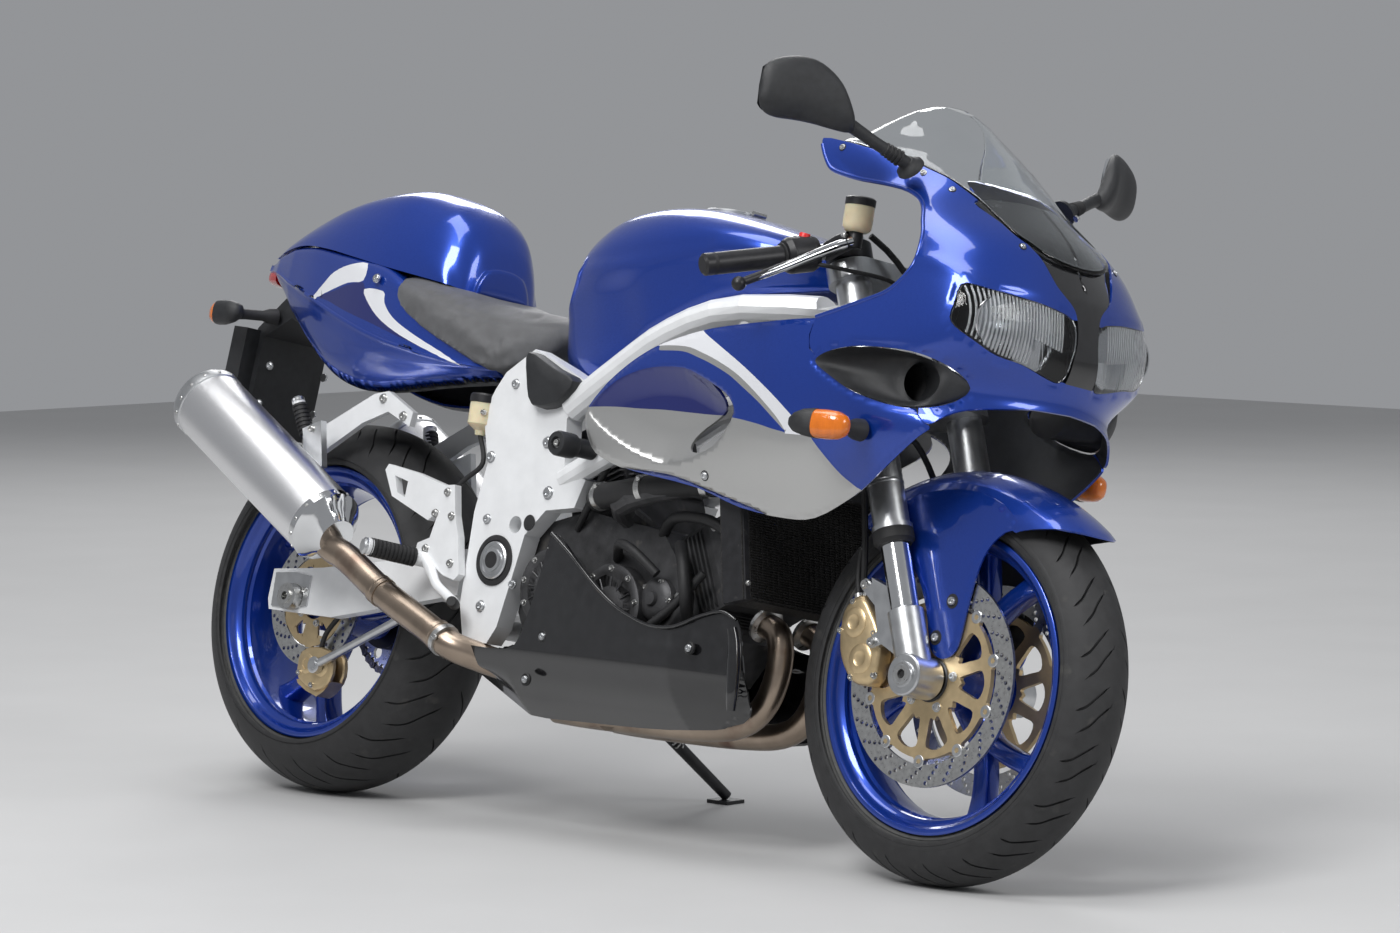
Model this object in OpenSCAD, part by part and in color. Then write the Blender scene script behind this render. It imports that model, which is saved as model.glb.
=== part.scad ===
// Half-faired twin-silencer sport motorcycle, parked on its side stand.
// Millimetres. Bike frame: +X forward, +Y rider's left, +Z up, ground midway
// between the axles at the origin; parked() leans it and puts it on the floor.

/* [Chassis] */
// Distance between the axles
wheel_base = 1395; // [1360:5:1450]
// Rake of the steering axis, degrees
rake_deg = 23; // [21:0.5:25]
// Trail at the ground
trail = 95; // [85:1:105]
// Lean to the left while parked, degrees
lean_deg = 12.25; // [8:0.25:15]
// Distance of each fork leg from the middle
fork_y = 105; // [100:1:115]

/* [Wheels] */
// Front tyre diameter
front_tyre_d = 600; // [590:2:640]
// Rear tyre diameter
rear_tyre_d = 622; // [610:2:660]
// Front tyre width
front_tyre_w = 120; // [110:1:130]
// Rear tyre width
rear_tyre_w = 190; // [170:1:200]
// Rim diameter over the flanges
rim_d = 458; // [450:1:466]
// Front brake disc diameter
front_disc_d = 320; // [280:2:330]
// Rear brake disc diameter
rear_disc_d = 220; // [200:2:250]
// Bore of the hollow axles
axle_bore_d = 14; // [10:0.5:16]

/* [Body] */
// Thickness of the fairing panels
panel_t = 4; // [3:0.5:6]
// Thickness of the windscreen
screen_t = 3; // [2:0.5:5]
// Diameter of each silencer
silencer_d = 124; // [105:1:128]
// Diameter of the fuel lid
lid_d = 96; // [80:1:110]
// Diameter of the handlebar grips
grip_d = 34; // [28:1:38]

/* [Hidden] */
origin_x = -14.25;
origin_y = 237.54;
fr = front_tyre_d / 2;
rr = rear_tyre_d / 2;
ax_f = wheel_base / 2;
ax_r = -wheel_base / 2;
crown_f = 60;
crown_r = 98;
rise_r = (crown_r - crown_f) * (1 / cos(lean_deg) - 1);
az_f = fr;
az_r = rr + rise_r;
lift = crown_f * (1 - cos(lean_deg));
yoke = fr * sin(rake_deg) - trail * cos(rake_deg);
rim_r = rim_d / 2;
$fn = 48;

// ---------------------------------------------------------------- helpers
function pick(p, i) = p[max(0, min(len(p) - 1, i))];
function cubic(a, b, c, d, t) = 0.5 * (2 * b + (c - a) * t + (2 * a - 5 * b + 4 * c - d) * t * t
  + (3 * b - a - 3 * c + d) * t * t * t);
// value of a smooth run through the list p at position u
function run(p, u) = let (i = max(0, min(len(p) - 2, floor(u))), t = u - i)
  cubic(pick(p, i - 1), p[i], p[i + 1], pick(p, i + 2), t);
// smooth open line through p, n steps between neighbours
function line_of(p, n) = [for (i = [0:(len(p) - 1) * n]) run(p, i / n)];
// smooth closed loop through p
function loop_of(p, n) = let (m = len(p)) [for (i = [0:m - 1]) for (j = [0:n - 1])
  cubic(p[(i + m - 1) % m], p[i], p[(i + 1) % m], p[(i + 2) % m], j / n)];
function unit(v) = v / max(0.000001, norm(v));
function flat(g) = [for (r = g) for (q = r) q];
function turned(g) = [for (i = [len(g) - 1:-1:0]) g[i]];
// mirrored ring from its half, given from top centre to bottom centre
function both(h) = concat(h, [for (i = [len(h) - 2:-1:1]) [h[i][0], -h[i][1], h[i][2]]]);

module parked() {
  translate([-origin_x, -origin_y, lift]) rotate([-lean_deg, 0, 0]) children();
}
// makes one mesh of what it is given
module as_mesh() { resize([0, 0, 0]) children(); }
module left() { mirror([0, 1, 0]) children(); }
// moves to the front axle with Z up the fork
module fork() { translate([ax_f, 0, az_f]) rotate([0, -rake_deg, 0]) children(); }
// round bar between two points
module bar(a, b, r1, r2 = -1) {
  v = b - a;
  translate(a) rotate([0, acos(v[2] / norm(v)), atan2(v[1], v[0])])
    cylinder(r1 = r1, r2 = r2 < 0 ? r1 : r2, h = norm(v));
}
// turned shape about the line from a to b, its half outline as children
module spin(a, b) {
  v = b - a;
  translate(a) rotate([0, acos(v[2] / norm(v)), atan2(v[1], v[0])]) rotate_extrude() children();
}
// bar along Y at x, z from y0 to y1
module pin(x, z, y0, y1, r) { translate([x, y1, z]) rotate([90, 0, 0]) cylinder(r = r, h = y1 - y0); }
// side view outline [x, z] as a plate from y0 to y1
module plate(p, y0, y1) { translate([0, y1, 0]) rotate([90, 0, 0]) linear_extrude(y1 - y0) polygon(p); }
// front view outline [y, z] as a prism from x0 to x1
module prism_x(p, x0, x1) {
  translate([x0, 0, 0]) rotate([90, 0, 90]) linear_extrude(x1 - x0) polygon(p);
}
// closed body through a list of rings with equal counts
module loft(g) {
  n = len(g[0]);
  m = len(g);
  polyhedron(points = flat(g), faces = concat(
    [[for (j = [0:n - 1]) j]],
    [for (i = [0:m - 2]) for (j = [0:n - 1]) for (k = [0, 1]) let (a = i * n + j,
      b = i * n + (j + 1) % n, c = a + n, d = b + n) k == 0 ? [a, c, b] : [b, c, d]],
    [[for (j = [n - 1:-1:0]) (m - 1) * n + j]]));
}
// round tube of radius r along the points p, n sides
module tube(p, r, n) {
  q = line_of(p, 3);
  loft([for (i = [0:len(q) - 1]) let (d = unit(pick(q, i + 1) - pick(q, i - 1)),
    u = unit(cross(d, [0.3, 1, 0.2])), v = cross(d, u)) [for (k = [0:n - 1])
    q[i] + r * (cos(k * 360 / n) * u + sin(k * 360 / n) * v)]]);
}
// sheet of thickness t behind the grid g
module sheet(g, t) {
  m = len(g);
  n = len(g[0]);
  inner = [for (i = [0:m - 1]) [for (j = [0:n - 1])
    g[i][j] + t * unit(cross(g[min(m - 1, i + 1)][j] - g[max(0, i - 1)][j],
      g[i][min(n - 1, j + 1)] - g[i][max(0, j - 1)]))]];
  o = m * n;
  polyhedron(points = concat(flat(g), flat(inner)), faces = concat(
    [for (i = [0:m - 2]) for (j = [0:n - 2]) for (k = [0:3]) let (a = i * n + j, b = a + 1,
      c = a + n, d = c + 1) k == 0 ? [a, c, b] : k == 1 ? [b, c, d] :
      k == 2 ? [o + a, o + b, o + c] : [o + b, o + d, o + c]],
    [for (i = [0:m - 2]) for (k = [0:3]) let (a = i * n, c = a + n, b = i * n + n - 1, d = b + n)
      k == 0 ? [a, o + c, c] : k == 1 ? [a, o + a, o + c] : k == 2 ? [b, o + d, o + b] : [b, d, o + d]],
    [for (j = [0:n - 2]) for (k = [0:3]) let (a = j, b = j + 1, c = (m - 1) * n + j, d = c + 1)
      k == 0 ? [a, o + b, o + a] : k == 1 ? [a, b, o + b] : k == 2 ? [c, o + d, d] : [c, o + c, o + d]]));
}

// ------------------------------------------------------- fairing surface
// half widths at x 0, 150, 300, 450, 600 for heights from 480 up in steps of 60
skin_w = [[190, 196, 196, 190, 165], [205, 214, 216, 208, 190], [217, 230, 234, 230, 213],
  [226, 240, 246, 245, 231], [228, 243, 251, 252, 240], [220, 236, 246, 250, 241],
  [205, 222, 236, 242, 233], [190, 208, 224, 231, 219], [178, 192, 205, 212, 200],
  [162, 170, 180, 182, 165], [150, 158, 168, 169, 120], [140, 148, 152, 140, 80]];
// where each height closes on the nose, where its closing starts, its bluntness and its taper
skin_n = [840, 850, 858, 858, 830, 845, 841, 824, 790, 720, 648, 564];
skin_c = [600, 600, 600, 600, 600, 600, 600, 600, 600, 512, 425, 425];
skin_a = [2, 2.1, 2.3, 2.6, 2.8, 5.2, 7, 5, 2.8, 2.2, 2.2, 2.2];
skin_k = [0, 0, 0.03, 0.05, 0.19, 0.1, 0.06, 0.05, 0.02, 0, 0, 0];
function skin_at(x, z) = let (u = (z - 480) / 60, row = run(skin_w, u), xn = run(skin_n, u),
  xc = run(skin_c, u), s = (x - xc) / (xn - xc)) x <= xc ? run(row, x / 150) :
  s >= 1 ? 0 : run(row, xc / 150) * (1 - run(skin_k, u) * s) * sqrt(1 - pow(s, run(skin_a, u)));
// stations of a level from x0 round to the nose, closing by angle q
function skin_row(x0, z, q) = let (u = (z - 480) / 60, xn = run(skin_n, u), xc = run(skin_c, u),
  a = run(skin_a, u)) concat([for (i = [0:5]) x0 + (xc - x0) * i / 6],
  [for (i = [0:q[0]:q[1]]) xc + (xn - xc) * pow(sin(i), 2 / a)]);
function skin_side(x0, z0, z1, dz) = [for (z = [z0:dz:z1]) [for (x = skin_row(x0, z, [10, 70]))
  [x, -skin_at(x, z), z]]];
// full ring of the nose at height z, set in by d
function skin_ring(x0, z, d) = let (w = run(run(skin_w, (z - 480) / 60), 4), h = [for (x = skin_row(x0, z, [9, 90]))
  [x - d * max(0, x - 560) / 240, -skin_at(x, z) * (1 - d / w), z]])
  concat(h, [for (i = [len(h) - 2:-1:0]) [h[i][0], -h[i][1], h[i][2]]]);
function skin_nose(x0, z0, z1, dz) = [for (z = [z0:dz:z1]) skin_ring(x0, z, 0)];

nose_line = [[518, 807], [607, 839], [643, 855], [666, 881], [674, 905], [670, 940], [655, 966], [628, 998],
  [582, 1019], [505, 1029], [454, 1039], [431, 1050], [407, 1082], [418, 1093], [563, 1066], [596, 1055],
  [632, 1042], [664, 1025], [689, 1011], [741, 978], [786, 948], [850, 905], [900, 870]];
nose_under = [[900, 714], [832, 712], [806, 704], [773, 693], [755, 680], [738, 663], [720, 676],
  [700, 708], [600, 734], [546, 742], [520, 760], [515, 780]];
side_line = [[36, 640], [69, 679], [116, 713], [169, 743], [220, 762], [301, 782], [423, 797],
  [519, 806], [560, 800], [700, 700], [738, 663], [722, 642], [660, 590], [624, 563], [589, 543],
  [524, 513], [470, 508], [380, 517], [291, 541], [154, 558], [93, 571], [54, 591]];
scoop_line = [[264, 590], [274, 616], [303, 640], [341, 654], [376, 658], [368, 640], [338, 610],
  [302, 592], [282, 586]];
duct_line = [[531, 742], [558, 759], [614, 768], [702, 765], [753, 749], [769, 724], [744, 695],
  [692, 684], [611, 699], [558, 723]];
lamp_line = [[218, 830], [206, 872], [183, 872], [135, 868], [85, 864], [34, 852], [26, 820],
  [31, 789], [38, 757], [60, 755], [116, 768], [158, 774], [190, 789], [214, 807]];
// black piece between the lamps and under the screen, half outline
base_line = [[30, 756], [28, 789], [23, 820], [25, 852], [33, 870], [52, 886], [62, 896], [70, 910], [81, 933],
  [92, 947], [105, 965], [116, 985], [122, 1006], [100, 1016], [45, 1021], [0, 1019]];
module nose_shape() { polygon(concat(line_of(nose_line, 2), [[1010, 870], [1010, 714]], nose_under)); }
module lamp_shape() { for (m = [0, 1]) mirror([m, 0]) polygon(loop_of(lamp_line, 2)); }
module base_shape() {
  polygon(concat(line_of(base_line, 2), [for (q = turned(line_of(base_line, 2))) [-q[0], q[1]]]));
}
module front_prism(x0) { translate([x0, 0, 0]) rotate([90, 0, 90]) linear_extrude(1010 - x0) children(); }
module nose_cowl() {
  color("royalblue") as_mesh() difference() {
    intersection() {
      sheet(skin_nose(380, 650, 1100, 25), panel_t);
      translate([0, 300, 0]) rotate([90, 0, 0]) linear_extrude(600) nose_shape();
    }
    front_prism(700) {
      lamp_shape();
      translate([-40, 757]) square([80, 95]);
      offset(delta = 1) base_shape();
    }
    for (m = [0, 1]) mirror([0, m, 0]) plate(loop_of(duct_line, 2), -280, -120);
  }
}
module fairing_right() {
  as_mesh() difference() {
    intersection() {
      sheet(skin_side(0, 500, 825, 25), panel_t);
      plate(loop_of(side_line, 2), -300, -100);
    }
    translate([0, -100, 0]) rotate([90, 0, 0]) linear_extrude(200) offset(delta = 1.5) nose_shape();
    plate(loop_of(duct_line, 2), -280, -120);
    plate(loop_of(scoop_line, 2), -280, -120);
  }
}
module side_fairing_right() { color("royalblue") fairing_right(); }
module side_fairing_left() { color("royalblue") left() fairing_right(); }

// ------------------------------------------------------- screen and nose
// height, start x, half width and centre x of the bubble above the cowl
screen_s = [[1080, 425, 169, 648], [1095, 440, 151, 630], [1107, 457, 132, 615], [1125, 476, 115, 589],
  [1140, 491, 98, 566], [1155, 502, 76, 547], [1166, 509, 50, 532], [1172, 513, 24, 523]];
function closing(x0, w, xn, z, f) = let (s = f) [x0 + (xn - x0) * s, -w * sqrt(max(0, 1 - pow(s, 2.2))), z];
screen_f = [for (i = [0:15]) pow(sin(i * 6), 0.9)];
function screen_half(s) = [for (f = screen_f) closing(s[1], s[2], s[3], s[0], f)];
function screen_low(z) = let (xn = run(skin_n, (z - 480) / 60)) [for (f = screen_f) let (x = 425 + (xn - 425) * f)
  [x, -skin_at(x, z), z]];
function whole(h) = concat(h, [for (i = [len(h) - 2:-1:0]) [h[i][0], -h[i][1], h[i][2]]]);
screen_grid = concat([for (z = [910:17:1063]) whole(screen_low(z))],
  [for (s = line_of(screen_s, 2)) whole(screen_half(s))]);
module windscreen() {
  color([0.8, 0.85, 0.9, 0.5]) as_mesh() intersection() {
    sheet(screen_grid, screen_t);
    plate([[300, 1200], [300, 1110], [383, 1094], [418, 1095], [563, 1068], [596, 1057], [632, 1044], [664, 1027],
      [689, 1013], [741, 980], [786, 950], [806, 933], [816, 925], [900, 924], [900, 1200]], -300, 300);
  }
}
function base_drop(z) = lookup(z, [[880, 0], [925, 8], [1040, 11]]);
module screen_base() {
  color("black") as_mesh() intersection() {
    sheet([for (z = [740:15:1040]) skin_ring(600, z, base_drop(z))], panel_t);
    front_prism(600) base_shape();
  }
}
module headlight() {
  color("gainsboro") as_mesh() intersection() {
    loft([for (z = [740:15:890]) let (r = skin_ring(600, z, 3)) [for (q = r) [max(q[0], 730), q[1], z]]]);
    union() {
      front_prism(700) offset(delta = -1.5) lamp_shape();
      translate([700, -45, 775]) cube([118, 90, 55]);
    }
  }
}
module duct() {
  as_mesh() difference() {
    intersection() {
      sheet(skin_side(480, 670, 790, 20), 34);
      plate([for (q = loop_of(duct_line, 2)) [650 + (q[0] - 650) * 0.982, 727 + (q[1] - 727) * 0.955]], -280, -90);
    }
    hull() {
      translate([640, -226, 728]) scale([1, 0.9, 1]) sphere(24, $fn = 18);
      translate([705, -212, 725]) scale([1, 0.8, 1]) sphere(33, $fn = 20);
      translate([840, -150, 722]) scale([1, 1, 1]) sphere(30, $fn = 18);
    }
  }
}
module intake_duct_right() { color([0.1, 0.1, 0.1]) duct(); }
module intake_duct_left() { color([0.1, 0.1, 0.1]) left() duct(); }
module instrument_panel() {
  color([0.12, 0.12, 0.12]) translate([640, 0, 990]) rotate([0, 38, 0]) {
    translate([-46, -106, -22]) cube([92, 212, 28]);
    for (y = [-70, 0, 70]) translate([0, y, 0]) cylinder(r = y == 0 ? 43 : 33, h = 16);
    translate([-16, -20, -50]) cube([32, 40, 30]);
  }
}
module mirror_one() {
  hull() {
    translate([566, -288, 1092]) sphere(12, $fn = 16);
    translate([552, -330, 1104]) scale([0.6, 1, 1]) sphere(34, $fn = 20);
    translate([508, -346, 1134]) scale([0.55, 1, 1]) sphere(43, $fn = 22);
    translate([512, -396, 1128]) scale([0.5, 0.8, 1]) sphere(42, $fn = 22);
  }
  tube([[566, -288, 1091], [584, -236, 1070], [597, -196, 1056], [600, -180, 1049]], 11, 12);
  hull() {
    translate([600, -178, 1050]) sphere(14, $fn = 16);
    translate([560, -168, 1060]) sphere(7, $fn = 12);
    translate([630, -168, 1040]) sphere(7, $fn = 12);
  }
}
module mirror_right() { color([0.08, 0.08, 0.08]) mirror_one(); }
module mirror_left() { color([0.08, 0.08, 0.08]) left() mirror_one(); }
module front_indicators() {
  for (m = [0, 1]) mirror([0, m, 0]) {
    color("orange") translate([619, -300, 641]) rotate([0, 0, 14]) hull() {
      translate([-28, 0, 0]) scale([0.8, 0.9, 1]) sphere(22, $fn = 18);
      translate([24, -4, 0]) scale([0.8, 0.8, 1]) sphere(23, $fn = 18);
    }
    color("black") spin([630, -295, 642], [632, -229, 644]) polygon([[0, 0], [12, 0], [12, 46], [16, 56], [16, 66], [0, 66]]);
  }
}

// ------------------------------------------------------------------ tank
// x, top, bottom, half width
tank_s = [[-196, 838, 768, 58], [-184, 874, 742, 90], [-152, 938, 716, 114], [-100, 974, 700, 134],
  [-40, 993, 716, 147], [40, 1000, 766, 156], [120, 996, 806, 158], [200, 982, 838, 152],
  [270, 966, 856, 134], [320, 952, 866, 104], [352, 938, 876, 66]];
function tank_ring(s) = let (t = s[1], b = s[2], w = s[3], h = t - b) both([[s[0], 0, t],
  [s[0], -0.4 * w, t - 0.012 * h], [s[0], -0.74 * w, t - 0.07 * h], [s[0], -0.94 * w, t - 0.2 * h],
  [s[0], -w, t - 0.38 * h], [s[0], -0.95 * w, t - 0.55 * h], [s[0], -0.9 * w, t - 0.75 * h],
  [s[0], -0.84 * w, b + 0.07 * h], [s[0], -0.7 * w, b], [s[0], 0, b]]);
module fuel_tank() {
  color("mediumblue") as_mesh() difference() {
    loft([for (s = line_of(tank_s, 2)) tank_ring(s)]);
    translate([70, 0, 992]) cylinder(r = lid_d / 2 + 5, h = 40);
  }
}
module fuel_lid() {
  color("gainsboro") {
    translate([70, 0, 992.5]) cylinder(r = lid_d / 2, h = 11);
    translate([70 + lid_d / 2 - 4, -12, 998]) cube([8, 24, 5]);
    pin(70 + lid_d / 2 + 4, 1001.5, -14, 14, 4);
  }
}

// ------------------------------------------------------------------ tail
// x, top, bottom, half width
seat_s = [[-199, 810, 772, 70], [-214, 814, 750, 92], [-244, 817, 728, 114], [-282, 820, 712, 132],
  [-330, 824, 716, 146], [-390, 834, 738, 154], [-450, 848, 762, 157], [-510, 861, 790, 155],
  [-550, 868, 814, 148], [-574, 870, 836, 134]];
function seat_ring(s) = let (t = s[1], b = s[2], w = s[3], h = t - b) both([[s[0], 0, t],
  [s[0], -0.5 * w, t - 1], [s[0], -0.8 * w, t - 0.1 * h], [s[0], -0.95 * w, t - 0.32 * h],
  [s[0], -w, t - 0.6 * h], [s[0], -0.99 * w, b + 0.12 * h], [s[0], -0.92 * w, b], [s[0], 0, b]]);
hump_s = [[-448, 890, 846, 48], [-462, 935, 850, 74], [-492, 978, 856, 98], [-545, 1008, 866, 114],
  [-620, 1022, 878, 121], [-700, 1014, 892, 118], [-780, 994, 905, 108], [-860, 962, 912, 90],
  [-930, 930, 906, 68], [-985, 902, 894, 44]];
function hump_ring(s) = let (t = s[1], b = s[2], w = s[3], h = t - b) both([[s[0], 0, t],
  [s[0], -0.36 * w, t - 0.03 * h], [s[0], -0.66 * w, t - 0.16 * h], [s[0], -0.84 * w, t - 0.42 * h],
  [s[0], -0.95 * w, t - 0.72 * h], [s[0], -w, b], [s[0], 0, b]]);
// x, seam, crease, bottom, half width
tail_s = [[-300, 740, 716, 703, 122], [-370, 760, 720, 697, 138], [-440, 786, 728, 690, 148],
  [-520, 832, 742, 681, 150], [-590, 868, 757, 676, 144], [-660, 884, 776, 682, 136],
  [-740, 897, 800, 706, 122], [-820, 908, 826, 752, 106], [-900, 908, 850, 806, 84],
  [-960, 896, 868, 850, 62], [-1000, 884, 874, 866, 42]];
function tail_ring(s, d) = let (w = s[4] - d) both([[s[0], 0, s[1]], [s[0], -0.88 * w, s[1]],
  [s[0], -0.955 * w, s[1] - 0.35 * (s[1] - s[2])], [s[0], -0.99 * w, s[2] + 6], [s[0], -w, s[2]],
  [s[0], -0.95 * w, s[2] - 0.4 * (s[2] - s[3])], [s[0], -0.8 * w, s[3] + 0.8 * d], [s[0], 0, s[3] + 0.8 * d]]);
module lamp_body(d) {
  hull() for (m = [0, 1]) mirror([0, m, 0]) {
    translate([-1006, -34, 872]) sphere(7 + d, $fn = 16);
    translate([-985, -40, 854]) sphere(8 + d, $fn = 16);
  }
}
module seat_body(d) {
  loft([for (s = line_of(turned(seat_s), 2)) seat_ring([s[0], s[1] + d, s[2] - d, s[3] + d])]);
}
module seat() { color([0.15, 0.15, 0.16]) as_mesh() difference() {
  seat_body(0);
  translate([0, 0, -2]) loft([for (s = line_of(turned(hump_s), 2)) hump_ring([s[0] + 3, s[1], s[2] - 40, s[3] + 3])]);
} }
module seat_cowl() {
  color("royalblue") as_mesh() difference() {
    loft([for (s = line_of(turned(hump_s), 2)) hump_ring(s)]);
    loft([for (s = line_of(turned(hump_s), 2)) hump_ring([s[0] - (s[0] + 716) * 0.018,
      s[1] - panel_t - 1, s[2] - 3, s[3] - panel_t])]);
  }
}
module tail_section() {
  color("royalblue") as_mesh() difference() {
    loft([for (s = line_of(turned(tail_s), 2)) tail_ring(s, 0)]);
    difference() {
      loft([for (s = line_of(turned(tail_s), 2)) tail_ring([s[0] + 8, s[1] + 2, s[2], s[3], s[4]], panel_t)]);
      translate([-1020, -200, 700]) cube([60, 400, 300]);
    }
    seat_body(2);
    translate([0, 0, -2]) loft([for (s = line_of(turned(hump_s), 2)) hump_ring([s[0], s[1], s[2], s[3] + 1])]);
    translate([-790, -108, 600]) cube([600, 216, 130]);
    translate([-1010, -66, 640]) cube([420, 132, 208]);
    lamp_body(1.5);
  }
}
module rear_mudguard() {
  color([0.07, 0.07, 0.07]) {
    plate([[-700, 735], [-905, 838], [-985, 770], [-996, 600], [-978, 598], [-964, 756], [-900, 790],
      [-700, 720]], -62, 62);
    plate([[-976, 766], [-1012, 768], [-1026, 596], [-990, 592]], -92, 92);
  }
}
module tail_lamp() { color("darkred") as_mesh() lamp_body(0); }
module rear_indicators() {
  for (m = [0, 1]) mirror([0, m, 0]) {
    color("black") spin([-952, -142.6, 783], [-934, -65.2, 790]) polygon([[0, 0], [9, 0], [9, 50], [13, 60], [13, 79.4], [0, 79.4]]);
    color("orange") hull() {
      translate([-950, -148, 784]) scale([1, 0.9, 1]) sphere(19, $fn = 18);
      translate([-990, -146, 781]) scale([0.9, 0.8, 1]) sphere(22, $fn = 18);
    }
  }
}

// ----------------------------------------------------------------- frame
plate_line = [[-241, 708], [-181, 748], [-112, 724], [-44, 698], [-84, 640], [-72, 560],
  [-20, 545], [-36, 500], [-100, 492], [-140, 450], [-150, 400], [-172, 300], [-190, 272], [-246, 272],
  [-266, 330], [-266, 480], [-252, 560], [-280, 640], [-260, 680]];
module frame() {
  color("whitesmoke") difference() {
    union() {
      for (m = [0, 1]) mirror([0, m, 0]) {
        plate(plate_line, -150, -116);
        tube([[-90, -134, 660], [20, -143, 728], [130, -150, 788], [250, -128, 830],
          [436, -26, 846]], 24, 14);
        tube([[-80, -134, 545], [150, -150, 640], [446, -30, 752]], 20, 12);
        bar([120, -150, 786], [150, -150, 640], 14);
        bar([250, -128, 830], [290, -96, 694], 14);
      }
      pin(-200, 405, -117, 98, 24);
      pin(-200, 405, 90, 117, 17);
      pin(-180, 700, -117, 117, 18);
      pin(-220, 300, -117, 117, 16);
      fork() translate([-yoke, 0, 480]) cylinder(r = 34, h = 142);
      bar(stand_p + 12.8 * stand_n, stand_p + 26 * stand_n, 18);
      bar(stand_p + 25 * stand_n, [-206, 134, 300], 12);
      bar(stand_p - 14 * stand_n, stand_p + 20 * stand_n, 7);
    }
    pin(-200, 405, -160, 160, 13);
    fork() translate([-yoke, 0, 470]) cylinder(r = 17, h = 200);
    fork() translate([-90, -150, 626]) cube([140, 300, 60]);
    for (m = [0, 1]) mirror([0, m, 0]) pin(-165, 465, -160, -110, 14);
  }
}
module frame_pads() {
  color("gray") for (m = [0, 1]) mirror([0, m, 0])
    plate([[-176, 741], [-110, 717], [-60, 698], [-94, 662], [-150, 656], [-172, 700]], -172, -163.5);
}
module crash_bobbins() {
  color([0.1, 0.1, 0.1]) for (m = [0, 1]) mirror([0, m, 0]) {
    pin(5, 590, -215, -169.5, 14);
    pin(5, 590, -250, -214, 19);
  }
}
module subframe() {
  color("whitesmoke") for (m = [0, 1]) mirror([0, m, 0]) {
    bar([-256, -98, 572], [-500, -92, 668], 15);
    bar([-235, -96, 690], [-500, -92, 706], 13);
    bar([-500, -92, 706], [-760, -70, 780], 12);
    translate([-500, -92, 706]) sphere(16);
    bar([-500, -92, 672], [-520, -92, 706], 13);
  }
  color("whitesmoke") {
    pin(-500, 690, -92, 92, 10);
    pin(-740, 774, -74, 74, 10);
  }
}
module swingarm() {
  arm = [[-300, 400], [-300, 345], [-600, 286], [-760, 288], [-766, 306], [-762, 356], [-640, 366], [-400, 400]];
  color("whitesmoke") difference() {
    union() {
      plate(arm, -128, -104);
      plate(arm, 116, 140);
      plate([[-300, 400], [-300, 345], [-372, 345], [-372, 400]], 90, 120);
      plate([[-166, 420], [-166, 390], [-190, 368], [-300, 344], [-372, 334], [-372, 410],
        [-300, 424], [-190, 440]], -112, 98);
    }
    pin(-200, 405, -140, 140, 24.6);
    translate([-320, -70, 300]) cube([60, 140, 200]);
    translate([-380, -84, 345]) cube([30, 168, 60]);
    pin(ax_r, az_r, -140, 141, 14);
  }
}
module rear_shock() {
  color("goldenrod") {
    bar([-290, 0, 440], [-255, 0, 640], 26);
    bar([-295, 0, 415], [-290, 0, 440], 14);
  }
}
module engine() {
  color([0.2, 0.2, 0.22]) difference() {
    union() {
      plate([[-168, 330], [-150, 470], [-40, 500], [130, 480], [190, 420], [200, 330], [150, 262],
        [-120, 250]], -112, 112);
      translate([150, 0, 395]) rotate([0, 62, 0]) translate([-70, -85, -10]) cube([140, 170, 168]);
      translate([-20, 0, 470]) rotate([0, -24, 0]) translate([-70, -85, -10]) cube([130, 170, 190]);
      pin(-78, 372, -142, -110, 62);
      pin(60, 350, -138, -110, 70);
      pin(-30, 360, 90, 136, 62);
      pin(80, 372, 110, 140, 74);
      tube([[40, -70, 486], [70, -150, 514], [190, -160, 545], [300, -136, 560]], 20, 14);
    }
    pin(-112, 392, 99, 113.5, 56);
    pin(-196, 405, -150, 150, 32);
    translate([-200, 99, 290]) cube([90, 14.5, 200]);
  }
}
module radiator() {
  color([0.08, 0.08, 0.08]) translate([352, 0, 470]) rotate([0, -14, 0]) {
    translate([-18, -165, -95]) cube([36, 330, 190]);
    translate([-22, -182, -95]) cube([44, 18, 190]);
    translate([-22, 164, -95]) cube([44, 18, 190]);
  }
}
module exhaust_headers() {
  color("rosybrown") {
    path = [[318, -48, 356], [352, -48, 340], [362, -48, 290], [346, -50, 232], [300, -54, 196],
      [200, -60, 184], [0, -66, 182], [-90, -67, 184]];
    for (m = [0, 1]) mirror([0, m, 0]) tube(path, 20, 16);
    pin(40, 183, -80, 80, 21);
  }
}
muff_a = [-536, -217, 424];
muff_b = [-888, -231, 620];
module silencer() {
  v = muff_b - muff_a;
  r = silencer_d / 2;
  h = norm(v);
  color("silver") {
    spin(muff_a, muff_b) polygon([[26, -26],
      [32, -26], [r - 10, -6], [r - 3, 2], [r, 4], [r + 1.5, 6], [r + 1.5, 22], [r, 24], [r, h - 24],
      [r + 1.5, h - 22], [r + 1.5, h - 6], [r - 2, h], [r - 14, h + 14], [36, h + 18], [26, h + 18],
      [24, h - 40], [0, h - 40], [0, 0], [26, 0]]);
    tube([muff_a + 0.06 * v, muff_a - 0.09 * v, [-484, -207, 378], [-400, -199, 332], [-300, -190, 289],
      [-228, -186, 262]], 24, 18);
    plate([[-690, 590], [-646, 606], [-626, 530], [-664, 512]], -176, -164);
  }
}
module silencer_right() { silencer(); }
module silencer_left() { left() silencer(); }
pan_line = [[-50, 455], [0, 425], [50, 390], [100, 360], [150, 340], [200, 328], [250, 330],
  [285, 348], [325, 362], [352, 352], [368, 300], [376, 220], [330, 190], [200, 175], [0, 170],
  [-120, 170], [-200, 190], [-262, 205], [-262, 262], [-120, 266], [-84, 300], [-60, 400]];
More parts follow.
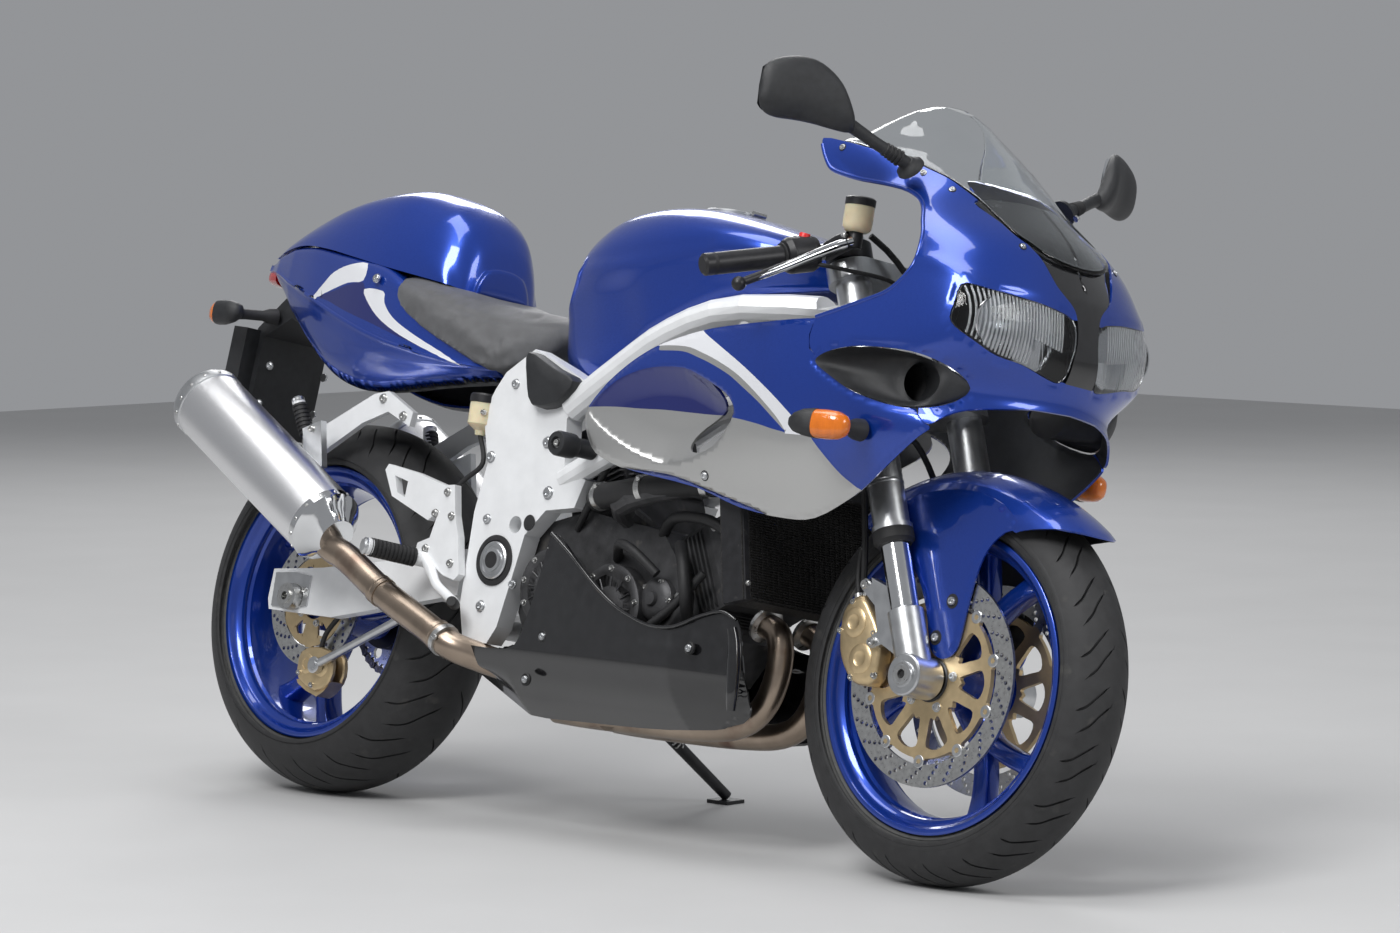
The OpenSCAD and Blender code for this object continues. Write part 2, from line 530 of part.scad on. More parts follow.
function pan_z(x) = 168 + max(0, -120 - x) * 0.42;
module belly_pan() {
  color([0.05, 0.05, 0.05]) as_mesh() difference() {
    intersection() {
      plate(pan_line, -180, 180);
      loft([for (x = [-290:40:390]) let (w = 176 - (x > 250 ? (x - 250) * 0.3 : 0)) both([[x, 0, 480],
        [x, -w, 480], [x, -w, 300], [x, -w + 12, 240], [x, -w + 45, pan_z(x) + 30], [x, -w + 85, pan_z(x)], [x, 0, pan_z(x)]])]);
    }
    loft([for (x = [-330:40:390]) let (w = 172 - (x > 250 ? (x - 250) * 0.3 : 0)) both([[x, 0, 520],
      [x, -w, 520], [x, -w, 300], [x, -w + 12, 244], [x, -w + 45, pan_z(x) + 35],
      [x, -w + 85, pan_z(x) + 5], [x, 0, pan_z(x) + 5]])]);
    translate([-106, -95, 100]) cube([446, 190, 120]);
    translate([300, -90, 150]) cube([120, 180, 260]);
    for (m = [0, 1]) mirror([0, m, 0]) tube([[-400, -199, 332], [-300, -190, 289], [-228, -186, 262], [-200, -184, 250]], 27, 18);
    translate([-300, 84, 100]) cube([176, 140, 240]);
  }
}

// ------------------------------------------------------------- front end
module yokes() {
  color("silver") fork() difference() {
    union() {
      translate([-yoke, 0, 478]) cylinder(r = 14, h = 170);
      for (z = [440, 630]) hull() {
        translate([0, -fork_y, z]) cylinder(r = 38, h = 30);
        translate([0, fork_y, z]) cylinder(r = 38, h = 30);
        translate([-yoke, 0, z]) cylinder(r = 34, h = 30);
      }
      translate([-yoke, 0, 468]) cylinder(r = 14, h = 20);
    }
    for (y = [-fork_y, fork_y]) translate([0, y, 400]) cylinder(r = 28, h = 320);
  }
}
module leg() {
  fork() translate([0, -fork_y, 0]) {
    translate([0, 0, 226]) cylinder(r = 27.7, h = 474);
    translate([0, 0, 214]) cylinder(r = 31, h = 22);
    translate([0, 0, 90]) cylinder(r = 21.5, h = 130);
    translate([0, 0, -10]) cylinder(r = 27, h = 112);
    translate([0, -26, 0]) rotate([-90, 0, 0]) cylinder(r = 32, h = 52);
    plate([[0, 130], [-46, 170], [-52, 70], [-20, 36]], -10, 8);
  }
}
module leg_cut() {
  difference() {
    leg();
    fork() rotate([90, 0, 0]) translate([0, 0, -200]) cylinder(r = 13, h = 400);
  }
}
module fork_leg_right() { color("silver") leg_cut(); }
module fork_leg_left() { color("silver") left() leg_cut(); }
module front_axle() {
  color("gray") fork() rotate([90, 0, 0]) difference() {
    union() {
      translate([0, 0, -136]) cylinder(r = 12.6, h = 272);
      translate([0, 0, 132.5]) cylinder(r = 17, h = 5.5);
      translate([0, 0, -138]) cylinder(r = 17, h = 5.5);
    }
    translate([0, 0, -150]) cylinder(r = axle_bore_d / 2, h = 300);
  }
}
fender_w = front_tyre_w / 2 + 16;
module front_fender() {
  color("royalblue") as_mesh() translate([ax_f, 0, az_f]) {
    difference() {
      rotate([90, 0, 0]) rotate_extrude($fn = 72) polygon(concat(
        [for (a = [0:15:180]) [fr - 44 + 66 * sin(a), fender_w * cos(a)]],
        [for (a = [180:-15:0]) [fr - 44 + 62 * sin(a), (fender_w - 4) * cos(a)]]));
      rotate([90, 0, 0]) translate([0, 0, -200]) linear_extrude(400) polygon([[0, 0], [262, 247],
        [420, 420], [600, 300], [600, -600], [-600, -600], [-600, 500], [-440, 500]]);
    }
    for (m = [0, 1]) mirror([0, m, 0]) plate([[-95, 252], [60, 262], [52, 190], [44, 90], [32, 58],
      [6, 58], [-6, 90], [-20, 150], [-52, 215]], -fender_w, -fender_w + 4);
  }
}
bar_a = [438, -136, 926];
bar_b = [361, -340, 863];
module leg_hole() { fork() translate([0, -fork_y, 600]) cylinder(r = 28.3, h = 140); }
module grip_side() {
  h = norm(bar_b - bar_a);
  r = grip_d / 2;
  fork() translate([0, -fork_y, 663]) cylinder(r = 36, h = 27);
  spin(bar_a, bar_b) polygon([[0, -8], [12, -8], [12, 34], [24, 38], [28, 46], [28, 82], [24, 90],
    [r, 92], [r, h - 22], [r - 3, h - 20], [r - 3, h - 17], [r, h - 16], [r, h - 4], [r - 4, h], [0, h]]);
  bar([430, -152, 918], [486, -158, 938], 12);
  bar([478, -154, 936], [426, -318, 842], 8, 6.5);
  translate([425, -321, 840]) sphere(11);
}
module handlebar_right() {
  color([0.12, 0.12, 0.12]) difference() { union() {
    grip_side();
    translate([484, -150, 930]) cylinder(r = 11, h = 40);
    translate([484, -150, 960]) cylinder(r = 22, h = 44);
  } leg_hole(); }
}
module handlebar_left() {
  color([0.12, 0.12, 0.12]) difference() { union() {
    left() grip_side();
    translate([484, 150, 930]) cylinder(r = 10, h = 40);
    translate([484, 150, 960]) cylinder(r = 17, h = 34);
  } left() leg_hole(); }
}
module caliper_front() {
  fork() difference() {
    union() {
      plate([[-84, 24], [-60, 90], [-78, 158], [-124, 146], [-146, 92], [-130, 34]], -104, -46);
      plate([[-54, 66], [-54, 100], [-84, 106], [-88, 60]], -112, -96);
    }
    rotate([90, 0, 0]) translate([0, 0, 63]) cylinder(r = front_disc_d / 2 + 4, h = 12, $fn = 90);
  }
}
module front_caliper_right() { color("goldenrod") caliper_front(); }
module front_caliper_left() { color("goldenrod") left() caliper_front(); }
module brake_hoses() {
  color([0.06, 0.06, 0.06]) fork() {
    tube([[-96, -80, 166], [-66, -92, 240], [-54, -84, 330], [-42, -44, 396], [-34, 0, 414],
      [-42, 44, 396], [-54, 84, 330], [-66, 92, 240], [-96, 80, 166]], 5, 8);
    tube([[-34, -1, 414], [0, -2, 417], [36, -6, 428], [54, -10, 480], [56, -12, 580], [54, -60, 655],
      [47, -104, 692]], 5, 8);
  }
}

// ---------------------------------------------------------------- wheels
// half section of a rim barrel: w between the flanges, out to r
function barrel(w, r) = let (h = w / 2) [[r - 46, h - 22], [r - 32, h - 14], [r - 30, h - 8], [r - 16, h - 4],
  [r - 1, h + 1], [r, h + 5], [r - 6, h + 8], [r - 16, h + 4], [r - 38, h + 3], [r - 46, h - 4]];
module wheel_barrel(w) {
  rotate([90, 0, 0]) rotate_extrude($fn = 120) polygon([[rim_r - 34, w / 2 - 6], [rim_r - 16, w / 2 - 1],
    [rim_r, w / 2], [rim_r, w / 2 + 6], [rim_r - 10, w / 2 + 7], [rim_r - 30, w / 2 + 2],
    [rim_r - 42, w / 2 - 14], [rim_r - 42, -w / 2 + 14], [rim_r - 30, -w / 2 - 2],
    [rim_r - 10, -w / 2 - 7], [rim_r, -w / 2 - 6], [rim_r, -w / 2], [rim_r - 16, -w / 2 + 1],
    [rim_r - 34, -w / 2 + 6]]);
}
module spokes(w, t0) {
  for (a = [t0:120:t0 + 240]) rotate([0, a, 0]) {
    plate([[-24, 30], [-30, 100], [-66, rim_r - 38], [-40, rim_r - 34], [0, 132], [40, rim_r - 34],
      [66, rim_r - 38], [30, 100], [24, 30]], -w / 2, w / 2);
  }
}
module front_rim() {
  color("mediumblue") translate([ax_f, 0, az_f]) difference() {
    union() {
      wheel_barrel(92);
      spokes(34, 20);
      rotate([90, 0, 0]) translate([0, 0, -62]) cylinder(r = 40, h = 124);
    }
    rotate([90, 0, 0]) translate([0, 0, -80]) cylinder(r = 13.2, h = 160);
  }
}
function tyre_half(r, w, rim_w, crown) = let (h = w / 2, e = asin((h - 1.5) / crown)) concat(
  [[rim_r - 15, rim_w / 2 - 2], [rim_r + 1, rim_w / 2 - 1], [rim_r + 3, rim_w / 2 + 6],
    [(rim_r + 3 + r - crown + crown * cos(e)) / 2, h]],
  [for (i = [0:12]) let (a = e * (1 - i / 12)) [r - crown + crown * cos(a), crown * sin(a)]]);
module tyre(r, w, rim_w, crown) {
  h = tyre_half(r, w, rim_w, crown);
  rotate([90, 0, 0]) rotate_extrude($fn = 160) polygon(concat(h,
    [for (i = [len(h) - 2:-1:0]) [h[i][0], -h[i][1]]]));
}
module front_tyre() { color([0.1, 0.1, 0.1]) translate([ax_f, 0, az_f]) tyre(fr, front_tyre_w, 90, crown_f); }
module rear_tyre() { color([0.1, 0.1, 0.1]) translate([ax_r, 0, az_r]) tyre(rr, rear_tyre_w, 152, crown_r); }
module rear_rim() {
  color("mediumblue") translate([ax_r, 0, az_r]) difference() {
    union() {
      wheel_barrel(154);
      spokes(40, 80);
      rotate([90, 0, 0]) translate([0, 0, -72]) cylinder(r = 46, h = 144);
    }
    rotate([90, 0, 0]) translate([0, 0, -90]) cylinder(r = 13.2, h = 180);
  }
}
module disc(d, y) {
  rotate([90, 0, 0]) translate([0, 0, y]) difference() {
    cylinder(r = d / 2, h = 5, $fn = 120);
    translate([0, 0, -1]) cylinder(r = 38, h = 7);
    for (a = [0:36:324]) rotate([0, 0, a]) translate([d * 0.275, 0, -1]) cylinder(r = d * 0.048, h = 7);
  }
}
module front_discs() {
  color("gainsboro") translate([ax_f, 0, az_f]) for (m = [0, 1]) mirror([0, m, 0]) {
    disc(front_disc_d, 66);
    rotate([90, 0, 0]) difference() {
      translate([0, 0, 62.3]) cylinder(r = 42, h = 6);
      translate([0, 0, 60]) cylinder(r = 20, h = 12);
    }
  }
}
module rear_disc() {
  color("gainsboro") translate([ax_r, 0, az_r]) {
    disc(rear_disc_d, 78);
    rotate([90, 0, 0]) difference() {
      translate([0, 0, 72.3]) cylinder(r = 42, h = 8);
      translate([0, 0, 70]) cylinder(r = 20, h = 12);
    }
  }
}
module rear_sprocket() {
  color("dimgray") translate([ax_r, 0, az_r]) rotate([-90, 0, 0]) difference() {
    union() {
      translate([0, 0, 104]) cylinder(r = 91, h = 6, $fn = 90);
      translate([0, 0, 72.3]) cylinder(r = 60, h = 33);
    }
    translate([0, 0, 60]) cylinder(r = 20, h = 60);
    for (a = [0:60:300]) rotate([0, 0, a]) translate([74, 0, 60]) cylinder(r = 11, h = 60);
  }
}
module chain() {
  color([0.25, 0.24, 0.22]) difference() {
    hull() {
      pin(ax_r, az_r, 102.5, 111.5, 102);
      pin(-112, 392, 102.5, 111.5, 46);
    }
    hull() {
      pin(ax_r, az_r, 70, 130, 93);
      pin(-112, 392, 70, 130, 37);
    }
  }
}
module rear_axle() {
  color("gray") translate([ax_r, 0, az_r]) rotate([90, 0, 0]) difference() {
    union() {
      translate([0, 0, -152]) cylinder(r = 12.6, h = 304);
      translate([0, 0, 128.5]) cylinder(r = 22, h = 20);
      translate([0, 0, -152]) cylinder(r = 22, h = 11.5);
    }
    translate([0, 0, -160]) cylinder(r = axle_bore_d / 2, h = 320);
  }
}
module rear_caliper() {
  color("goldenrod") as_mesh() difference() {
    plate([[-690, 228], [-620, 236], [-606, 186], [-640, 160], [-694, 178]], -102, -60);
    translate([ax_r, 0, az_r]) rotate([90, 0, 0]) translate([0, 0, 76]) cylinder(r = rear_disc_d / 2 + 4, h = 9, $fn = 90);
  }
  color("whitesmoke") {
    bar([-640, -109.3, 205], [-438, -110, 302], 8);
    pin(-640, 205, -118, -98, 14);
  }
}

// ------------------------------------------------------------- small ones
module footrest_right() {
  color("whitesmoke") {
    difference() {
      plate([[-471, 544], [-400, 534], [-325, 517], [-304, 519], [-292, 470], [-277, 436], [-262, 376],
        [-272, 366], [-300, 372], [-345, 396], [-374, 406], [-372, 420], [-345, 430], [-332, 476],
        [-356, 458], [-452, 492], [-478, 534]], -166, -152);
      plate([[-452, 526], [-418, 518], [-420, 492], [-440, 498]], -170, -150);
    }
    spin([-352, -160, 394], [-392, -262, 400]) polygon([[0, 0], [13, 0], [13, 84], [14, 104], [11, 110], [0, 110]]);
    tube([[-350, -168, 400], [-300, -176, 356], [-236, -186, 326]], 7, 10);
  }
}
module footrest_left() { left() footrest_right(); }
module passenger_footrests() {
  color("whitesmoke") for (m = [0, 1]) mirror([0, m, 0]) {
    plate([[-482, 612], [-478, 636], [-546, 668], [-580, 662], [-740, 580], [-735, 556], [-690, 558],
      [-600, 612], [-540, 634]], -126, -114);
    bar([-712, -134, 572], [-744, -150, 640], 11);
    pin(-712, 572, -142, -114, 14);
  }
}
stand_p = [-165, 150, 235];
foot_p = [-137, 387, 83];
foot_z = foot_p[2] * cos(lean_deg) - foot_p[1] * sin(lean_deg) + lift;
stand_d0 = unit(foot_p - stand_p);
stand_d1 = unit([-280, 15, -30]);
stand_n = unit(cross(stand_d0, stand_d1));
module side_stand() {
  color([0.05, 0.05, 0.05]) {
    bar(stand_p + 14 * stand_d0, foot_p + [0, 0, 11], 11, 9);
    difference() {
      bar(stand_p - 12 * stand_n, stand_p + 12 * stand_n, 20);
      bar(stand_p - 16 * stand_n, stand_p + 16 * stand_n, 7.4);
    }
    bar(stand_p + 120 * stand_d0, stand_p + 130 * stand_d0 + [52, 0, 10], 5);
    translate(foot_p) rotate([lean_deg, 0, 0]) translate([-24, -20, -foot_z]) cube([48, 40, 6]);
  }
}

parked() {
  frame();
  subframe();
  swingarm();
  rear_shock();
  engine();
  radiator();
  exhaust_headers();
  silencer_right();
  silencer_left();
  fuel_tank();
  fuel_lid();
  seat();
  seat_cowl();
  tail_section();
  rear_mudguard();
  tail_lamp();
  rear_indicators();
  nose_cowl();
  side_fairing_right();
  side_fairing_left();
  belly_pan();
  windscreen();
  screen_base();
  headlight();
  intake_duct_right();
  intake_duct_left();
  instrument_panel();
  mirror_right();
  mirror_left();
  front_indicators();
  yokes();
  fork_leg_right();
  fork_leg_left();
  front_fender();
  handlebar_right();
  handlebar_left();
  front_caliper_right();
  front_caliper_left();
  brake_hoses();
  front_axle();
  footrest_right();
  footrest_left();
  passenger_footrests();
  front_rim();
  front_tyre();
  front_discs();
  rear_rim();
  rear_tyre();
  rear_disc();
  rear_sprocket();
  chain();
  rear_axle();
  rear_caliper();
  side_stand();
  crash_bobbins();
  frame_pads();
}
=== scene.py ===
import bmesh
import bpy
import math
import numpy as np
from mathutils import Vector, Matrix
from mathutils.geometry import delaunay_2d_cdt


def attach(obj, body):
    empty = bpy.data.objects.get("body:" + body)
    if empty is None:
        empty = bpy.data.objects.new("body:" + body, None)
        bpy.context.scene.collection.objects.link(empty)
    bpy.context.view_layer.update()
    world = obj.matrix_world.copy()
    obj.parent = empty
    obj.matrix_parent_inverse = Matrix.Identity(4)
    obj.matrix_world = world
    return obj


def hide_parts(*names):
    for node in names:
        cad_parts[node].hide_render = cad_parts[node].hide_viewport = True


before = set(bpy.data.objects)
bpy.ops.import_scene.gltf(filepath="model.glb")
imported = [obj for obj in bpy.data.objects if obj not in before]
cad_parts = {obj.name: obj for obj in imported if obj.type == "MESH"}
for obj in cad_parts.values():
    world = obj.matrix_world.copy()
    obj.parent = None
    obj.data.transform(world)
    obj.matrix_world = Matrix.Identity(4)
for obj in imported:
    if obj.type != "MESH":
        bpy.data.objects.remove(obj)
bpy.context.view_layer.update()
LEAN = math.radians(12.25)
OX, OY, LIFT = -0.01425, 0.23754, 0.060 * (1 - math.cos(LEAN))
# bike frame (mm, upright) to the row frame (m, leaning on its stand)
PARK = Matrix.Translation((-OX, -OY, LIFT)) @ Matrix.Rotation(-LEAN, 4, "X") @ Matrix.Scale(0.001, 4)
AXF, AZF, AXR, AZR = 697.5, 300.0, -697.5, 311.885
FORK = PARK @ Matrix.Translation((AXF, 0, AZF)) @ Matrix.Rotation(math.radians(-23), 4, "Y")
YOKE = 300 * math.sin(math.radians(23)) - 95 * math.cos(math.radians(23))

# ---------------------------------------------------------------- camera
cam = bpy.data.cameras.new("camera")
cam.lens = 129.1
cam.sensor_width = 36.0
cam_ob = bpy.data.objects.new("camera", cam)
bpy.context.scene.collection.objects.link(cam_ob)
az, el, dist = math.radians(45.48), math.radians(4.37), 7.744
back = Vector((math.sin(az) * math.cos(el), -math.cos(az) * math.cos(el), math.sin(el)))
cam_ob.location = Vector((0.205 - OX, -OY, 0.598)) + back * dist
cam_ob.rotation_euler = (-back).to_track_quat("-Z", "Y").to_euler()
bpy.context.scene.camera = cam_ob


# ------------------------------------------------------------- materials
def mat(name, col, rough=0.5, metal=0.0, var=0.06, vs=40.0, bump=0.0, bs=600.0, rv=0.06, cell=False,
        stretch=None, wear=None, **kw):
    """Principled material whose colour and roughness drift with noise, with a fine bump."""
    m = bpy.data.materials.new(name)
    m.use_nodes = True
    nt = m.node_tree
    b = nt.nodes["Principled BSDF"]
    b.inputs["Metallic"].default_value = metal
    for k, v in kw.items():
        b.inputs[k.replace("_", " ")].default_value = v
    tc = nt.nodes.new("ShaderNodeTexCoord")
    src = tc.outputs["Object"]
    if stretch:
        mp = nt.nodes.new("ShaderNodeMapping")
        mp.inputs["Scale"].default_value = stretch
        nt.links.new(src, mp.inputs[0])
        src = mp.outputs[0]
    n1 = nt.nodes.new("ShaderNodeTexNoise")
    n1.inputs["Scale"].default_value = vs
    n1.inputs["Detail"].default_value = 5
    nt.links.new(src, n1.inputs["Vector"])
    cr = nt.nodes.new("ShaderNodeValToRGB")
    lo, hi = (1 - var, 1 + var)
    cr.color_ramp.elements[0].position, cr.color_ramp.elements[1].position = 0.3, 0.7
    cr.color_ramp.elements[0].color = (*[min(1, c * lo) for c in col], 1)
    cr.color_ramp.elements[1].color = (*[min(1, c * hi) for c in col], 1)
    nt.links.new(n1.outputs["Fac"], cr.inputs[0])
    base = cr.outputs[0]
    if wear:
        n3 = nt.nodes.new("ShaderNodeTexNoise")
        n3.inputs["Scale"].default_value = wear[0]
        n3.inputs["Detail"].default_value = 8
        nt.links.new(tc.outputs["Object"], n3.inputs["Vector"])
        r3 = nt.nodes.new("ShaderNodeValToRGB")
        r3.color_ramp.elements[0].position, r3.color_ramp.elements[1].position = wear[1], wear[1] + 0.12
        nt.links.new(n3.outputs["Fac"], r3.inputs[0])
        mx = nt.nodes.new("ShaderNodeMix")
        mx.data_type = "RGBA"
        mx.inputs[7].default_value = (*wear[2], 1)
        nt.links.new(base, mx.inputs[6])
        nt.links.new(r3.outputs[0], mx.inputs[0])
        base = mx.outputs[2]
    nt.links.new(base, b.inputs["Base Color"])
    rr = nt.nodes.new("ShaderNodeMapRange")
    rr.inputs[3].default_value, rr.inputs[4].default_value = max(0, rough - rv), rough + rv
    nt.links.new(n1.outputs["Fac"], rr.inputs[0])
    nt.links.new(rr.outputs[0], b.inputs["Roughness"])
    if bump:
        n2 = nt.nodes.new("ShaderNodeTexVoronoi" if cell else "ShaderNodeTexNoise")
        n2.inputs["Scale"].default_value = bs
        nt.links.new(src, n2.inputs["Vector"])
        bp = nt.nodes.new("ShaderNodeBump")
        bp.inputs["Strength"].default_value = bump
        bp.inputs["Distance"].default_value = 0.001
        nt.links.new(n2.outputs["Distance" if cell else "Fac"], bp.inputs["Height"])
        nt.links.new(bp.outputs[0], b.inputs["Normal"])
    return m


COAT = {"Coat_Weight": 1.0, "Coat_Roughness": 0.04}
M = {
    "blue": mat("metallic_blue", (0.005, 0.045, 0.35), 0.28, 0.55, var=0.14, vs=2600, bump=0.02, bs=90,
                **COAT),
    # navy paint for the tail's patch, and painted shade on the top of the side fairings' dish
    "navy_paint_and_shade": mat("metallic_navy_and_painted_shade", (0.008, 0.016, 0.16), 0.3, 0.4, var=0.12, vs=2600, bump=0.02, bs=90,
                **COAT),
    "silver": mat("champagne_silver", (0.5, 0.5, 0.49), 0.34, 0.75, var=0.08, vs=2600, bump=0.02, bs=90,
                  **COAT),
    "stripe": mat("pearl_white", (0.78, 0.79, 0.82), 0.3, 0.15, var=0.04, vs=2600, bump=0.02, bs=90,
                  **COAT),
    "white": mat("frame_white", (0.8, 0.81, 0.82), 0.36, 0.12, var=0.04, vs=30, bump=0.08, bs=700,
                 Coat_Weight=0.35, Coat_Roughness=0.15),
    "gloss": mat("gloss_black", (0.008, 0.008, 0.009), 0.16, 0.0, var=0.3, vs=60, bump=0.02, bs=80, **COAT),
    "plastic": mat("satin_black_plastic", (0.017, 0.018, 0.02), 0.46, 0.0, var=0.25, vs=90, bump=0.3,
                   bs=1500, cell=True),
    "black": mat("black_paint", (0.015, 0.015, 0.017), 0.4, 0.1, var=0.3, vs=60, bump=0.15, bs=500,
                 wear=(45, 0.68, (0.08, 0.075, 0.07))),
    "cast": mat("dark_casting", (0.07, 0.07, 0.073), 0.5, 0.55, var=0.35, vs=35, bump=0.35, bs=420,
                wear=(30, 0.63, (0.16, 0.15, 0.14))),
    "alu": mat("brushed_aluminium", (0.86, 0.86, 0.87), 0.3, 1.0, var=0.1, vs=900, bump=0.12, bs=900,
               rv=0.1, stretch=(1, 1, 14)),
    "sat": mat("satin_aluminium", (0.6, 0.61, 0.62), 0.34, 1.0, var=0.08, vs=50, bump=0.12, bs=700,
               rv=0.08),
    "chrome": mat("hard_chrome", (0.76, 0.77, 0.78), 0.1, 1.0, var=0.03, vs=30, rv=0.04),
    "steel": mat("ground_steel", (0.56, 0.56, 0.55), 0.3, 1.0, var=0.12, vs=160, bump=0.1, bs=900, rv=0.1),
    "chain": mat("oiled_steel", (0.16, 0.145, 0.13), 0.42, 0.9, var=0.4, vs=120, bump=0.2, bs=800,
                 wear=(200, 0.6, (0.3, 0.28, 0.25))),
    "gold": mat("champagne_gold", (0.66, 0.51, 0.3), 0.36, 0.85, var=0.07, vs=80, bump=0.12, bs=900,
                wear=(60, 0.72, (0.3, 0.24, 0.17))),
    "pipe": mat("tinted_steel", (0.36, 0.29, 0.23), 0.3, 1.0, var=0.22, vs=14, bump=0.08, bs=500,
                wear=(9, 0.58, (0.2, 0.13, 0.1))),
    "rubber": mat("tyre_rubber", (0.022, 0.022, 0.023), 0.62, 0.0, var=0.25, vs=60, bump=0.35, bs=1400,
                  wear=(24, 0.62, (0.05, 0.048, 0.045))),
    "edge": mat("worn_sidewall", (0.062, 0.062, 0.06), 0.6, 0.0, var=0.22, vs=90, bump=0.4, bs=1100,
                wear=(30, 0.6, (0.1, 0.098, 0.09))),
    "soft": mat("soft_rubber", (0.014, 0.014, 0.015), 0.6, 0.0, var=0.2, vs=90, bump=0.3, bs=1100),
    "vinyl": mat("seat_vinyl", (0.085, 0.086, 0.09), 0.42, 0.0, var=0.16, vs=50, bump=0.55, bs=1050,
                 cell=True, Sheen_Weight=0.15, Sheen_Roughness=0.5),
    "cream": mat("reservoir_cream", (0.72, 0.62, 0.42), 0.3, 0.0, var=0.06, vs=60, bump=0.05, bs=300,
                 Subsurface_Weight=0.2),
    "amber": mat("amber_lens", (0.95, 0.22, 0.01), 0.14, 0.0, var=0.12, vs=160, bump=0.5, bs=420,
                 stretch=(1, 1, 0.15), Transmission_Weight=0.25, Coat_Weight=0.8, Coat_Roughness=0.03),
    "red": mat("red_lens", (0.42, 0.008, 0.008), 0.14, 0.0, var=0.2, vs=160, bump=0.4, bs=420,
               Transmission_Weight=0.15, Coat_Weight=0.8, Coat_Roughness=0.03),
    "switch": mat("red_switch", (0.7, 0.02, 0.02), 0.35, 0.0, var=0.1, vs=200, bump=0.1, bs=900),
    "glass": mat("clear_screen", (0.93, 0.96, 0.97), 0.02, 0.0, var=0.02, vs=12, rv=0.015,
                 Transmission_Weight=1.0, IOR=1.35),
    "lens": mat("fluted_lens", (0.97, 0.98, 1.0), 0.03, 0.0, var=0.02, vs=30, rv=0.02, bump=0.9, bs=170,
                stretch=(0.02, 1, 0.02), Transmission_Weight=1.0, IOR=1.3),
    "flute": mat("fluted_glass", (0.9, 0.92, 0.94), 0.06, 0.0, var=0.02, vs=30, rv=0.03,
                 Transmission_Weight=0.55, IOR=1.45),
    "mirror": mat("mirror_glass", (0.8, 0.82, 0.84), 0.03, 1.0, var=0.02, vs=10, rv=0.015),
    "core": mat("radiator_core", (0.035, 0.034, 0.033), 0.55, 0.6, var=0.4, vs=240, bump=1.0, bs=380,
                cell=True),
}


# --------------------------------------------------------------- helpers
def cub(a, b, c, d, t):
    """Catmull-Rom value between b and c, of numbers or of tuples"""
    if isinstance(b, (int, float)):
        return 0.5 * (2 * b + (c - a) * t + (2 * a - 5 * b + 4 * c - d) * t * t + (3 * b - a - 3 * c + d)
                      * t ** 3)
    return tuple(cub(p, q, r, s, t) for p, q, r, s in zip(a, b, c, d))


def run(p, u):
    """smooth value of the list p at the place u, counted in entries"""
    i = max(0, min(len(p) - 2, math.floor(u)))
    return cub(p[max(0, i - 1)], p[i], p[i + 1], p[min(len(p) - 1, i + 2)], u - i)


def squared(c, power):
    """a cosine or sine with its sign kept, for the corners of a rounded square"""
    return math.copysign(abs(c) ** power, c)


def line_of(p, n):
    """smooth open line through the points, n steps to each"""
    return [run(p, i / n) for i in range((len(p) - 1) * n + 1)]


def loop_of(p, n):
    """smooth closed line through the points, n steps to each"""
    m = len(p)
    return [cub(p[i - 1], p[i], p[(i + 1) % m], p[(i + 2) % m], j / n) for i in range(m) for j in range(n)]


def bisect(below, lo, hi, n=24):
    """halves lo..hi n times round the place where below(x) turns false"""
    for _ in range(n):
        mid = (lo + hi) / 2
        lo, hi = (mid, hi) if below(mid) else (lo, mid)
    return lo, hi


def put(name, me, body, rep=()):
    """An object for the mesh: it rides the body and stands for the nodes in rep."""
    ob = bpy.data.objects.new(name, me)
    bpy.context.scene.collection.objects.link(ob)
    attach(ob, body)
    if rep:
        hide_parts(*rep)
    return ob


def chained(loops):
    """the points of all the closed loops, and the edges that join them"""
    pts, edges = [], []
    for lp in loops:
        o = len(pts)
        pts += [tuple(p) for p in lp]
        edges += [(o + i, o + (i + 1) % len(lp)) for i in range(len(lp))]
    return pts, edges


def triangles(pts, edges, eps):
    """points and triangles of a constrained triangulation"""
    vs, _, faces = delaunay_2d_cdt([Vector(p) for p in pts], edges, [], 0, eps)[:3]
    return np.array([(p.x, p.y) for p in vs]), np.array([q for q in faces if len(q) == 3])


def inside(c, loops):
    """which rows of c lie in the first loop and in none of the others"""
    ok = within(c, loops[0])
    for lp in loops[1:]:
        ok &= ~within(c, lp)
    return ok


